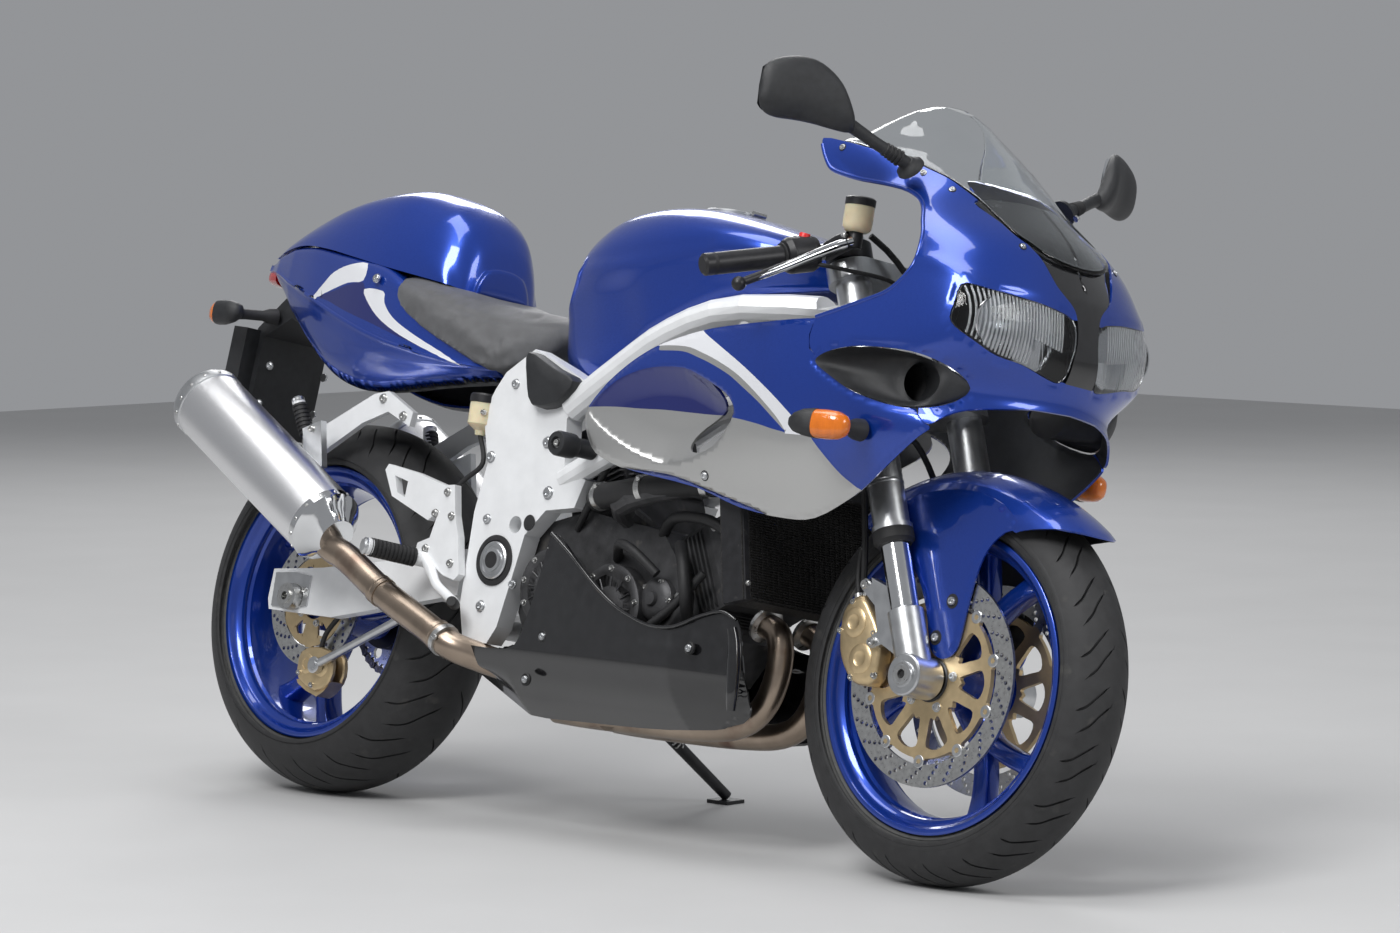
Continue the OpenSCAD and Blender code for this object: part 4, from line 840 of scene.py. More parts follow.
# ------------------------------------------------------------ air ducts
def duct_ring(k):
    """lip to throat: k 0 at the panel edge"""
    a = loop_of(DUCT, 4)
    cx, cz = 650, 727
    out = []
    for x, z in a:
        X, Z = cx + (x - cx) * 0.985, cz + (z - cz) * 0.96
        y = -skin_at(X, Z) - 1.0
        # throat centre and radius
        ang = math.atan2((Z - 727) * 1.55, X - 650)
        tx, tz, ty = 705 + 36 * math.cos(ang), 726 + 30 * math.sin(ang), -198
        s = k ** 1.15
        d = 1 - (1 - k) ** 2.2
        out.append((X + (tx - X) * s, y + (ty - y) * d, Z + (tz - Z) * s))
    return out


def duct_liners():
    dk = Kit()
    outer = duct_ring(0)
    lip = [[(p[0], p[1] + 7, p[2]) for p in outer], [(p[0], p[1] + 1, p[2]) for p in outer]]
    body = [duct_ring(k / 12) for k in range(1, 12)]
    neck = [[(x - 20 * j, y + 12 * j + 4, z) for x, y, z in duct_ring(1)] for j in (0, 1, 2, 3)]
    dk.rings(lip + body + neck, "plastic", caps=False, mirror=True)
    dk.rings([neck[-1], [(620, -150, 726)] * len(outer)], "soft", caps=False, mirror=True)
    dk.make("duct_liners", "chassis", rep=("intake_duct_right", "intake_duct_left"), slot="black_plastic",
            angle=60)


duct_liners()

# --------------------------------------------------- tank, seat and tail
# stations of x, height of the top, height of the bottom and half width
TANK = [(-196, 838, 768, 58), (-184, 874, 742, 90), (-152, 938, 716, 114), (-100, 974, 700, 134),
        (-40, 993, 716, 147), (40, 1000, 766, 156), (120, 996, 806, 158), (200, 982, 838, 152),
        (270, 966, 856, 134), (320, 952, 866, 104), (352, 938, 876, 66)]


def half_smooth(h, m, corners=()):
    """half ring from top middle to bottom middle, smoothed except at the corners"""
    n, out = len(h), []
    for i in range(n - 1):
        a = (-h[1][0], h[1][1]) if i == 0 else (h[i] if i in corners else h[i - 1])
        d = (-h[n - 2][0], h[n - 2][1]) if i == n - 2 else (h[i + 1] if i + 1 in corners else h[i + 2])
        out += [cub(a, h[i], h[i + 1], d, k / m) for k in range(m)]
    return out + [h[-1]]


def body_loft(name, stations, half, mats, m=4, n=5, corners=(), rep=(), slot=None, push=None, ends=(6, 6),
              angle=180):
    """Smooth body through stations; half(s) gives [(y, z)] of the right half ring, top to bottom."""
    S = line_of(stations, n)
    rings = []
    for s in S:
        h = half_smooth(half(s), m, corners)
        ring = [(s[0], y, z) for y, z in h] + [(s[0], -y, z) for y, z in h[-2:0:-1]]
        rings.append(ring)
    for which, e in ((0, ends[0]), (-1, ends[1])):
        r = rings[which]
        sx = math.copysign(1, rings[which][0][0] - rings[1 if which == 0 else -2][0][0])
        cy, cz = 0.0, sum(p[2] for p in r) / len(r)
        extra = [[(p[0] + sx * e * math.sin(a), cy + (p[1] - cy) * q, cz + (p[2] - cz) * q) for p in r]
                 for a, q in ((0.5, 0.97), (0.95, 0.88), (1.3, 0.68), (1.5, 0.35), (1.57, 0.05))]
        rings = (extra[::-1] + rings) if which == 0 else (rings + extra)
    if push:
        rings = [[push(p) for p in r] for r in rings]
    k = Kit()
    k.rings(rings, mats)
    return k.make(name, "chassis", rep=rep, slot=slot, angle=angle)


def tank_half(s):
    _, t, b, w = s
    h = t - b
    return [(0, t), (-0.4 * w, t - 0.012 * h), (-0.74 * w, t - 0.07 * h), (-0.94 * w, t - 0.2 * h),
            (-w, t - 0.38 * h), (-0.95 * w, t - 0.55 * h), (-0.9 * w, t - 0.75 * h),
            (-0.84 * w, b + 0.07 * h), (-0.7 * w, b), (0, b)]


def tank_push(p):
    x, y, z = p
    # knee hollow, and the shoulder line above it
    e = math.exp(-(((x + 62 + (z - 800) * 0.25) / 92) ** 4) - ((z - 812) / 66) ** 4)
    ly = 9 * e
    ridge = 900 + 0.12 * (x + 60)
    ly -= 2.5 * math.exp(-((z - ridge) / 13) ** 2) * (1 if x < 180 else 0)
    y -= math.copysign(min(abs(y), ly) if ly > 0 else ly, y)
    # dish round the filler
    r = math.hypot(x - 70, y)
    if z > 960 and r < 66:
        z -= 4.5 * (1 - min(1, max(0, (r - 50) / 14)))
    return (x, y, z)


body_loft("tank_shell", TANK, tank_half, "blue", m=6, n=7, rep=("fuel_tank",), slot="paint_blue",
          push=tank_push, ends=(5, 5))


def filler_ring():
    fl = Kit()
    fl.spin((70, 0, 985), (70, 0, 1010), [(53, 0), (53, 7.5), (51, 9), (49.5, 9)], "sat", 60)
    for k in range(8):
        a = k * math.tau / 8 + 0.2
        fl.bolt((70 + 50.8 * math.cos(a), 50.8 * math.sin(a), 992.5), (0, 0, 1), 2.4, "steel", 1.5)
    fl.make("filler_ring", "chassis", slot="cast_silver", angle=40)


filler_ring()


def lid_detail():
    lid = Kit()
    lid.spin((70, 0, 990), (70, 0, 1010),
             [(0, 3), (44, 3), (47.5, 4), (48, 6), (48, 11.5), (46, 13.3), (36, 13.6), (34, 12.4),
              (20, 12.4), (18, 13.8), (0, 13.8)], "sat", 64)
    lid.spin((70, 0, 1003.6), (70, 0, 1010), [(11, 0), (10, 1.6), (4, 1.8), (3.4, 0.8), (0, 0.8)],
             "chrome", 24)
    lid.spin((122, -14, 1001.5), (122, 14, 1001.5), [(0, 0), (4, 0), (4, 28), (0, 28)], "steel", 16)
    lid.rings([[(112, -12, 998), (120, -12, 998), (120, 12, 998), (112, 12, 998)],
               [(112, -12, 1003), (120, -12, 1003), (120, 12, 1003), (112, 12, 1003)]], "sat")
    lid.make("lid_detail", "fuel_lid", rep=("fuel_lid",), slot="cast_silver", angle=40)


lid_detail()

HUMP = [(-448, 896, 846, 62), (-458, 938, 850, 84), (-486, 980, 856, 104), (-545, 1008, 866, 114),
        (-620, 1022, 878, 121), (-700, 1014, 892, 118), (-780, 994, 905, 108), (-860, 962, 912, 90),
        (-930, 930, 906, 68), (-985, 902, 894, 44)]


def hump_half(s):
    _, t, b, w = s
    h = t - b
    return [(0, t), (-0.36 * w, t - 0.03 * h), (-0.66 * w, t - 0.16 * h), (-0.84 * w, t - 0.42 * h),
            (-0.95 * w, t - 0.72 * h), (-w, b), (0, b)]


def hump_push(p):
    # flat face at the front with a crisp edge round it
    x, y, z = p
    if x > -640:
        k = math.hypot(y / 112, (z - 892) / 118)
        f = min(1, (x + 640) / 70)
        x += f * 5.0 * math.exp(-((k - 0.96) / 0.07) ** 2)
        t = max(0.0, 1 - abs(k - 0.96) / 0.12) * f
        y *= 1 + 0.03 * t
    return (x, y, z)


body_loft("hump_shell", HUMP, hump_half, "blue", m=6, n=7, corners=(5,), rep=("seat_cowl",),
          slot="plastic_blue", push=hump_push, ends=(4, 4), angle=50)


# stations of x, top, crease, bottom and half width
TAIL = [(-300, 740, 716, 703, 122), (-370, 760, 720, 697, 138), (-440, 786, 728, 690, 148),
        (-520, 832, 742, 681, 150), (-590, 868, 757, 676, 144), (-660, 884, 776, 682, 136),
        (-740, 897, 800, 706, 122), (-820, 908, 826, 752, 106), (-900, 908, 850, 806, 84),
        (-960, 896, 868, 850, 62), (-1000, 884, 874, 866, 42)]


def tail_half(s):
    _, t, c, b, w = s
    return [(-0.55 * w, t), (-0.88 * w, t), (-0.955 * w, t - 0.35 * (t - c)), (-0.99 * w, c + 6), (-w, c),
            (-0.95 * w, c - 0.4 * (c - b)), (-0.8 * w, b), (-0.5 * w, b)]


def tail_p(x, v, s=1):
    """place on the tail; v is 30 for each point of tail_half, from the top down"""
    i = 0
    while i < len(TAIL) - 2 and x < TAIL[i + 1][0]:
        i += 1
    st2 = run(TAIL, i + (x - TAIL[i][0]) / (TAIL[i + 1][0] - TAIL[i][0]))
    h = tail_half(st2)
    y, z = run(h, max(0, min(7, v / 30)))
    return (x, s * y, z)


def tail_v(x, z):
    """the v of the place at x and height z"""
    return sum(bisect(lambda v: tail_p(x, v)[2] > z, 0.0, 210.0)) / 2


# white crescents and the dark patch
# colour patches in x and z: the upper white crescent, the dark one and the lower white one
W1 = [(-796, 819), (-769, 845), (-743, 865), (-702, 877), (-652, 880), (-649, 850), (-692, 846),
      (-739, 834)]
NAVY = [(-776, 822), (-728, 833), (-690, 843), (-655, 847), (-644, 843), (-627, 823), (-590, 797),
        (-527, 769), (-436, 741), (-454, 740), (-591, 775), (-682, 797), (-742, 814)]
W2 = [(-640, 835), (-586, 832), (-576, 813), (-546, 789), (-490, 764), (-414, 736), (-368, 716),
      (-420, 730), (-504, 755), (-574, 782), (-616, 808)]
zones = [[(x, tail_v(x, z)) for x, z in loop_of(q, 3)] for q in (NAVY, W1, W2)]
tail_cuts = [z + [z[0]] for z in zones]
tail_edge = [(-1001, 1), (-300, 1), (-300, 205), (-1001, 205)]


def paint_tail(c):
    k = np.zeros(len(c), int)
    for i, z in enumerate(zones):
        k[within(c, z)] = i + 1 if i < 2 else 2
    return k


def tail_relief(uv):
    return 1.5 * np.exp(-(gap(uv, [(-1000, 120.0), (-300, 120.0)]) / 6) ** 2)


for s, label in ((-1, "right"), (1, "left")):
    panel("tail_panel_" + label, lambda x, v, s=s: tail_p(x, v, -s), tail_edge,
          ["blue", "navy_paint_and_shade", "stripe"], cuts=tail_cuts, paint=paint_tail, h=8, t=4, rep=("tail_section",),
          relief=tail_relief, out=lambda p, s=s: (0, s, 0.2), du=1.0)


def tail_end():
    tk = Kit()
    end = [tail_p(-1000, v)[1:] for v in range(0, 211, 15)]
    ring = [(-1000, -y, z) for y, z in end] + [(-1000, y, z) for y, z in end[::-1]]
    tk.rings([ring, [(-1004, y * 0.9, z) for _, y, z in ring]], "blue")
    tk.make("tail_end", "chassis", slot="plastic_blue")


tail_end()


def tail_lamp_lens():
    lk = Kit()
    lr = [[(x, w * squared(math.cos(a), 0.6), 863 + h * squared(math.sin(a), 0.7))
           for a in [k * math.tau / 28 for k in range(28)]]
          for x, w, h in ((-978, 47, 17), (-990, 46, 17), (-1001, 43, 15), (-1008, 37, 11.5),
                          (-1011.5, 25, 6))]
    lk.rings(lr, "red")
    lk.make("tail_lamp_lens", "chassis", rep=("tail_lamp",), slot="red", angle=50)


tail_lamp_lens()

# seat: a padded vinyl cushion, blown up a little by a cloth run
SEAT = [(-199, 810, 772, 70), (-214, 814, 750, 92), (-244, 817, 728, 114), (-282, 820, 712, 132),
        (-330, 824, 716, 146), (-390, 834, 738, 154), (-450, 848, 762, 157), (-510, 861, 790, 155),
        (-550, 868, 814, 148), (-574, 870, 836, 134)]


def seat_half(s):
    _, t, b, w = s
    h = t - b
    return [(0, t - 3), (-0.5 * w, t - 2), (-0.8 * w, t - 0.1 * h - 1), (-0.95 * w, t - 0.32 * h),
            (-w, t - 0.6 * h), (-0.99 * w, b + 0.12 * h), (-0.92 * w, b), (0, b)]


seat = body_loft("seat_pad", [(s[0], s[1] - 3, s[2] + 1, s[3] - 3) for s in SEAT], seat_half, "vinyl",
                 m=5, n=6, rep=("seat",), slot="seat_cover", ends=(5, 5))
sc = bpy.context.scene


def inflate(ob, voxel, pressure, cap):
    """Remeshes the pad and blows it up as cloth. Gives the new places, each moved by no more than cap."""
    rm = ob.modifiers.new("remesh", "REMESH")
    rm.mode, rm.voxel_size = "VOXEL", voxel
    bpy.context.view_layer.objects.active = ob
    for o in bpy.context.selected_objects:
        o.select_set(False)
    ob.select_set(True)
    bpy.ops.object.modifier_apply(modifier="remesh")
    rest = np.array([v.co[:] for v in ob.data.vertices])
    cl = ob.modifiers.new("cloth", "CLOTH")
    cl.settings.use_pressure = True
    cl.settings.uniform_pressure_force = pressure
    cl.settings.effector_weights.gravity = 0
    cl.point_cache.frame_start, cl.point_cache.frame_end = 1, 20
    for f in range(1, 21):
        sc.frame_set(f)
    dg = bpy.context.evaluated_depsgraph_get()
    ev = ob.evaluated_get(dg).to_mesh()
    now = np.array([v.co[:] for v in ev.vertices])
    ob.evaluated_get(dg).to_mesh_clear()
    ob.modifiers.remove(cl)
    sc.frame_set(1)
    d = now - rest
    n = np.linalg.norm(d, axis=1, keepdims=True)
    rest = rest + d * np.minimum(1, cap / np.maximum(n, 1e-9))
    return rest


rest = inflate(seat, 0.006, 4.0, 0.006)
inv = np.array(PARK.inverted())
loc = rest @ inv[:3, :3].T + inv[:3, 3]
# piped seam round the top of the side wall, in the bike frame
top = np.interp(-loc[:, 0], [-s[0] for s in SEAT], [s[1] - 0.27 * (s[1] - s[2]) for s in SEAT])
wid = np.interp(-loc[:, 0], [-s[0] for s in SEAT], [s[3] for s in SEAT])
d = np.abs(loc[:, 2] - top)
side_on = np.clip((np.abs(loc[:, 1]) - 0.75 * wid) / 12, 0, 1)
inw = np.exp(-(d / 3.0) ** 2) * 2.2 * side_on
loc[:, 1] -= np.sign(loc[:, 1]) * inw
p4 = np.array(PARK)
rest = loc @ p4[:3, :3].T + p4[:3, 3]
seat.data.vertices.foreach_set("co", rest.ravel())
seat.data.update()
seat.data.shade_smooth()
sm = seat.modifiers.new("smooth", "SMOOTH")
sm.factor, sm.iterations = 0.5, 2
ss = seat.modifiers.new("sub", "SUBSURF")
ss.levels = ss.render_levels = 1

# ------------------------------------------------------------ silencers
SILENCER_A, SILENCER_B = Vector((-536, -217, 424)), Vector((-888, -231, 620))
SILENCER_L = (SILENCER_B - SILENCER_A).length
SILENCER_R = 62.0
LINK_R = 23.7
RIVETS = 14




def silencer(s, label):
    """can with its end caps and rivets, the link pipe with its joints, and the hanger"""
    k = Kit()
    a, b = (Vector((p.x, p.y * s, p.z)) for p in (SILENCER_A, SILENCER_B))
    r = SILENCER_R
    k.spin(a, b, [(r - 0.6, 20)] + [(r, 24), (r, SILENCER_L - 24), (r - 0.6, SILENCER_L - 20)], "alu", 72)
    k.spin(a, b, [(26, -26), (32, -26), (33, -24), (r - 16, -9), (r - 8, -3), (r - 2.5, 3), (r, 6),
                  (r + 1.5, 8), (r + 1.5, 21), (r, 22.5), (r - 1, 22.5)], "chrome", 72)
    k.spin(a, b, [(r - 1, SILENCER_L - 23), (r, SILENCER_L - 23), (r + 1.5, SILENCER_L - 21),
                  (r + 1.5, SILENCER_L - 7), (r, SILENCER_L - 4), (r - 3, SILENCER_L + 2),
                  (r - 12, SILENCER_L + 11.8), (r - 20, SILENCER_L + 15.8), (36, SILENCER_L + 17.8),
                  (30, SILENCER_L + 17.8), (28.5, SILENCER_L + 15), (27, SILENCER_L + 15),
                  (25.5, SILENCER_L + 17), (25, SILENCER_L - 40), (0, SILENCER_L - 41)], "sat", 72)
    d = (b - a).normalized()
    u = d.cross(Vector((0, 0, 1))).normalized()
    w = d.cross(u)
    for i in range(RIVETS):
        q = u * math.cos(i * math.tau / RIVETS) + w * math.sin(i * math.tau / RIVETS)
        for h in (14.5, SILENCER_L - 14):
            k.spin(a + d * h + q * (r + 1), a + d * h + q * (r + 5),
                   [(3.1, 0), (3.1, 1.0), (2.2, 1.8), (0, 2.1)], "steel", 10)
    mid = [(-557, -218, 412), (-522, -212, 393), (-484, -207, 378), (-400, -199, 332), (-300, -190, 289)]
    # the right pipe turns in behind the belly pan, and the left one stops short of the folded side stand
    mid += [(-240, -182, 262), (-206, -150, 250), (-166, -112, 240)] if s > 0 else [(-236, -186, 262)]
    mid = [(x, y * s, z) for x, y, z in mid]
    k.tube(mid, LINK_R, "pipe", 28, 6)
    for x, y, z in ((-404, -199.4, 334), (-262, -187, 273)):
        c = Vector((x, y * s, z))
        dd = Vector((0.9, 0.07 * s, -0.43)).normalized()
        k.spin(c - dd * 9, c + dd * 9, [(23.6, 0), (25.4, 0.5), (25.4, 8), (24.6, 9), (25.4, 10),
                                        (25.4, 17.5), (23.6, 18)], "pipe", 32)
    c = Vector((-250, -186.5 * s, 268))
    dd = Vector((0.9, 0, -0.43)).normalized()
    k.spin(c - dd * 5, c + dd * 5, [(24, 0), (27, 0), (27, 10), (24, 10)], "steel", 32)
    k.bolt((-246, -212 * s, 270), (0.2, -s, 0.1), 4.5, "steel")
    # hanger
    k.slab([(-690, 590), (-646, 606), (-626, 530), (-664, 512)], *sorted((-176 * s, -164 * s)), "sat")
    k.bolt((-666, -176 * s, 590), (0, -s, 0), 6, "steel")
    k.make("silencer_detail_" + label, "chassis", rep=("silencer_" + label,), slot="bare_aluminium",
           angle=32)


for s, label in ((1, "right"), (-1, "left")):
    silencer(s, label)


# ---------------------------------------------------------------- wheels
RIM_R = 229.0
AXLE_BORE = 13.4


def wheel_mtx(x, z):
    """frame of a wheel, with its axle along y"""
    return PARK @ Matrix.Translation((x, 0, z))


FRONT_WHEEL, REAR_WHEEL = wheel_mtx(AXF, AZF), wheel_mtx(AXR, AZR)


def circle(cx, cz, r, n=10):
    return [(cx + r * math.cos(i * math.tau / n), cz + r * math.sin(i * math.tau / n)) for i in range(n)]


def turn(p, a):
    """points turned by a degrees"""
    c, s = math.cos(math.radians(a)), math.sin(math.radians(a))
    return [(x * c - z * s, x * s + z * c) for x, z in p]


def spun(k, prof, name, n=160):
    """profile [(radius, y)] turned about the wheel's axle"""
    k.rings([[(r * math.cos(i * math.tau / n), y, r * math.sin(i * math.tau / n)) for i in range(n)]
             for r, y in prof[::-1]], name, caps=False)


def rim(name, body, mtx, w, t0, hub_w, hub_r, spoke_w, node):
    """wheel w wide between its flanges, with three forked spokes from the angle t0 on"""
    k, R = Kit(mtx), RIM_R
    h = w / 2
    side2 = [(R, h + 6), (R - 3, h + 7.5), (R - 8, h + 7), (R - 11, h + 4), (R - 13, h - 1),
             (R - 18, h - 6), (R - 24, h - 9), (R - 25.5, h - 13), (R - 24.5, h - 16), (R - 25, h - 19),
             (R - 29, h - 23), (R - 31, h - 34)]
    barrel = [(R - 22, 0), (R - 17, -h + 10), (R - 6, -h + 2), (R, -h - 1), (R, -h - 6)]
    barrel += [(r, -y) for r, y in side2[1:]] + [(R - 32, 0)]
    spun(k, barrel + side2[::-1] + [(R, h + 1), (R - 6, h - 2), (R - 17, h - 10), (R - 22, 0)], "blue", 180)
    spun(k, [(AXLE_BORE, -hub_w / 2), (26, -hub_w / 2), (28, -hub_w / 2 + 2), (hub_r, -hub_w / 2 + 14),
             (hub_r + 2, 0), (hub_r, hub_w / 2 - 14), (28, hub_w / 2 - 2), (26, hub_w / 2),
             (AXLE_BORE, hub_w / 2), (AXLE_BORE, -hub_w / 2)], "blue", 64)

    def beam(a0, r0, a1, r1, w0, w1, d0, d1, n=9):
        """spoke from angle a0 and radius r0 to a1 and r1, as its width and depth change"""
        rings = []
        for i in range(n + 1):
            t = i / n
            a, r = math.radians(a0 + (a1 - a0) * t), r0 + (r1 - r0) * t
            cx, cz = r * math.sin(a), r * math.cos(a)
            ww = w0 + (w1 - w0) * (t ** 1.5) + (6 * max(0, t - 0.8) / 0.2)
            dd = d0 + (d1 - d0) * t
            tx, tz = math.cos(a), -math.sin(a)
            around = [(squared(math.cos(q), 0.55), squared(math.sin(q), 0.55))
                      for q in [j * math.tau / 20 for j in range(20)]]
            rings.append([(cx + tx * ww / 2 * c, dd / 2 * d, cz + tz * ww / 2 * c) for c, d in around])
        k.rings(rings, "blue")
    for a in (t0, t0 + 120, t0 + 240):
        beam(a, 22, a, 118, 52, 50, spoke_w + 8, spoke_w)
        for sg in (1, -1):
            beam(a + sg * 3, 96, a + sg * 18, R - 29, 30, 36, spoke_w, spoke_w + 4)
    k.make(name, body, rep=(node,), slot="paint_blue", angle=34)


rim("front_wheel_rim", "front_wheel", FRONT_WHEEL, w=92, t0=20, hub_w=124, hub_r=40, spoke_w=34,
    node="front_rim")
rim("rear_wheel_rim", "rear_wheel", REAR_WHEEL, w=154, t0=80, hub_w=144, hub_r=46, spoke_w=40,
    node="rear_rim")


def tyre_walls(name, body, mtx, R, W, rim_w, crown, node):
    """side walls with their worn band and raised lines"""
    h = W / 2
    e = math.asin((h - 1.5) / crown)
    edge_r, edge_y = R - crown + crown * math.cos(e), crown * math.sin(e)
    wide_r, seat = (232 + edge_r) / 2, rim_w / 2
    prof = [(214, seat - 2), (222, seat + 1), (230, seat - 1), (231, seat + 3), (235, seat + 6),
            (240, seat + 7), (244, (seat + 7 + h) / 2 - 2), (wide_r - 4, h - 0.6), (wide_r, h),
            ((wide_r + edge_r) / 2, h - 0.1), (edge_r - 1, h - 1), (edge_r, edge_y)]
    ring = line_of(prof, 2)
    k = Kit(mtx)
    for s in (1, -1):
        for part, paint in ((ring[:14], "edge"), (ring[13:], "rubber")):
            spun(k, [(r, y * s) for r, y in part[::-s]], paint, 180)
    for s in (1, -1):
        for r in (236.5, 241.5, wide_r + 3):
            y = np.interp(r, [p[0] for p in prof], [p[1] for p in prof])
            spun(k, [(r - 0.9, s * (y - 0.6)), (r, s * (y + 0.9)), (r + 0.9, s * (y - 0.6))], "rubber", 160)
    k.make(name + "_walls", body, rep=(node,), slot="tyre_rubber", angle=50)


def groove(line, w):
    """outline of a tread groove of half width w, with narrow ends"""
    lp = [Vector(p) for p in line_of(line, 3)]
    left, right = [], []
    for i, p in enumerate(lp):
        d = (lp[min(i + 1, len(lp) - 1)] - lp[max(i - 1, 0)]).normalized()
        half = w * min(1, 0.35 + 1.6 * math.sin(math.pi * i / (len(lp) - 1)))
        left.append(tuple(p + Vector((-d.y, d.x)) * half))
        right.append(tuple(p + Vector((d.y, -d.x)) * half))
    return left + right[::-1]


def tyre_tread(name, body, mtx, R, W, crown, node, pitch, slots, slope=0.62, depth=4.0, cell=7):
    """tread: one pitch of so many degrees with sunk grooves, repeated round the wheel"""
    L = math.asin((W / 2 - 1.5) / crown) * crown
    n_rep = round(360 / pitch)
    D = math.radians(360 / n_rep) * R
    inner = [dense(groove(q, 1.7), 5) for q in slots]
    outer = [dense(groove(q, 2.6), 5) for q in slots]
    loops = [dense([(0, -L), (D, -L), (D, L), (0, L)], cell)] + outer + inner
    pts, edges = chained(loops)
    G = np.array([(x, y) for x in np.arange(4, D - 3, cell) for y in np.arange(-L + 4, L - 3, cell)])
    ok = np.ones(len(G), bool)
    for lp in loops:
        ok &= gap(G, lp, True) > 2.4
    pts += [tuple(p) for p in G[ok]]
    V, T = triangles(pts, edges, 1e-4)
    sunk = np.zeros(len(V))
    for lp in inner:
        sunk = np.maximum(sunk, np.where(within(V, lp) | (gap(V, lp, True) < 0.05), depth, 0))
    base = []
    for (u, s), dep in zip(V, sunk):
        a, q = (u + abs(s) * slope) / R, s / crown
        rad = R - crown + crown * math.cos(q)
        n = Vector((math.cos(q) * math.sin(a), math.sin(q), math.cos(q) * math.cos(a)))
        base.append(Vector((rad * math.sin(a), crown * math.sin(q), rad * math.cos(a))) - n * dep)
    faces = []
    for q in T:
        q = tuple(int(i) for i in q)
        g = (base[q[1]] - base[q[0]]).cross(base[q[2]] - base[q[0]])
        c = (base[q[0]] + base[q[1]] + base[q[2]]) / 3
        faces.append(q if g.dot(Vector((c.x, 0, c.z))) > 0 else q[::-1])
    k = Kit(mtx)
    for i in range(n_rep):
        rot = Matrix.Rotation(i * math.tau / n_rep, 3, "Y")
        k.add([tuple(rot @ p) for p in base], faces, "rubber")
    ob = k.make(name + "_tread", body, rep=(node,), slot="tyre_rubber", angle=40)
    # the pitches meet edge to edge, so joining equal points makes one skin
    bm = bmesh.new()
    bm.from_mesh(ob.data)
    bmesh.ops.remove_doubles(bm, verts=bm.verts, dist=0.00005)
    bm.to_mesh(ob.data)
    bm.free()
    ob.data.shade_smooth()
    ob.data.set_sharp_from_angle(angle=math.radians(40))


F_SLOTS = [[(14, 12), (20, 26), (30, 38), (34, 50)], [(52, 20), (58, 34), (64, 48), (64, 60)],
           [(44, -12), (50, -26), (60, -38), (64, -50)], [(12, -20), (18, -34), (26, -48), (26, -60)]]
R_SLOTS = [[(14, 14), (24, 34), (40, 54), (46, 76)], [(58, 40), (66, 60), (74, 80), (74, 98)],
           [(50, -14), (60, -34), (76, -54), (80, -76)], [(12, -40), (20, -60), (30, -80), (30, -98)]]
for name, body, mtx, R, W, rim_w, crown, pitch, slots in (
        ("front_tyre", "front_wheel", FRONT_WHEEL, 300, 120, 90, 60, 16, F_SLOTS),
        ("rear_tyre", "rear_wheel", REAR_WHEEL, 311, 190, 152, 98, 18, R_SLOTS)):
    tyre_walls(name, body, mtx, R, W, rim_w, crown, name)
    tyre_tread(name, body, mtx, R, W, crown, name, pitch, slots)


# ---------------------------------------------------------------- brakes
def rotor(k, R, r_in, y0, y1, rows, n):
    """drilled steel ring; rows are (radius, angle of the first hole), each with n holes"""
    drilled = [circle(*turn([(rad, 0)], i * 360 / n + off)[0], 3.4, 8) for i in range(n)
               for rad, off in rows]
    k.slab(circle(0, 0, R, 120), y0, y1, "steel", holes=[circle(0, 0, r_in, 90)] + drilled)


def carrier(k, r_out, r_in, y0, y1, n, hub):
    """gold spider: windows, arms and buttons"""
    wins = []
    st2 = 360 / n
    for i in range(n):
        w = [turn([(r_in, 0)], -7.5)[0], turn([(r_in + 4, 0)], 0)[0], turn([(r_in, 0)], 7.5)[0],
             turn([(r_in + 22, 0)], 11.5)[0], turn([(r_out - 17, 0)], 12)[0],
             turn([(r_out - 11, 0)], 0)[0], turn([(r_out - 17, 0)], -12)[0],
             turn([(r_in + 22, 0)], -11.5)[0]]
        wins.append(turn(loop_of(w, 3), i * st2))
    edge = []
    for i in range(n * 24):
        a = i * 360 / (n * 24)
        d = (a - st2 / 2) % st2
        d = min(d, st2 - d)
        rr2 = r_out + 7.5 * max(0, 1 - (d / 6.0) ** 2)
        edge.append(turn([(rr2, 0)], a)[0])
    k.slab(edge, y0, y1, "gold", holes=wins + [circle(0, 0, hub, 40)])


def front_disc(s):
    k = Kit(FRONT_WHEEL)
    ya, yb = (-71, -66) if s == 1 else (66, 71)
    rows = [(154, 0), (146.5, 3), (139, 6), (131.5, 9)] if s == 1 else [(154, 0), (146.5, -3), (139, -6),
            (131.5, -9)]
    rotor(k, 160, 126.5, ya, yb, rows, 26)
    carrier(k, 117.5, 58, ya - 1 if s == 1 else ya - 2, yb + 2 if s == 1 else yb + 1, 10, 34)
    yo = ya - 2 if s == 1 else yb + 2
    for i in range(10):
        x, z = turn([(122, 0)], i * 36 + 18)[0]
        k.spin((x, yo, z), (x, yo + s * 9, z),
               [(0, 2.2), (3.8, 2.2), (4.2, 0.6), (8.8, 0.2), (10, 1.2), (10, 8.6), (0, 9)], "sat", 20)
    for i in range(5):
        x, z = turn([(45, 0)], i * 72 + 10)[0]
        k.bolt((x, yo, z), (0, -s, 0), 6, "sat", 4)
    spun(k, [(20, -s * 62), (33, -s * 62), (33.5, -s * 72), (31, -s * 73.5), (20, -s * 73.5)][:: -1
         if s == 1 else 1], "black", 48)
    spun(k, [(33, -s * 63.5), (46, -s * 63.5), (58, -s * 65)][:: -1 if s == 1 else 1], "blue", 48)
    k.make("front_disc_" + ("right" if s == 1 else "left"), "front_wheel", rep=("front_discs",),
           slot="steel", angle=30)


for s in (1, -1):
    front_disc(s)


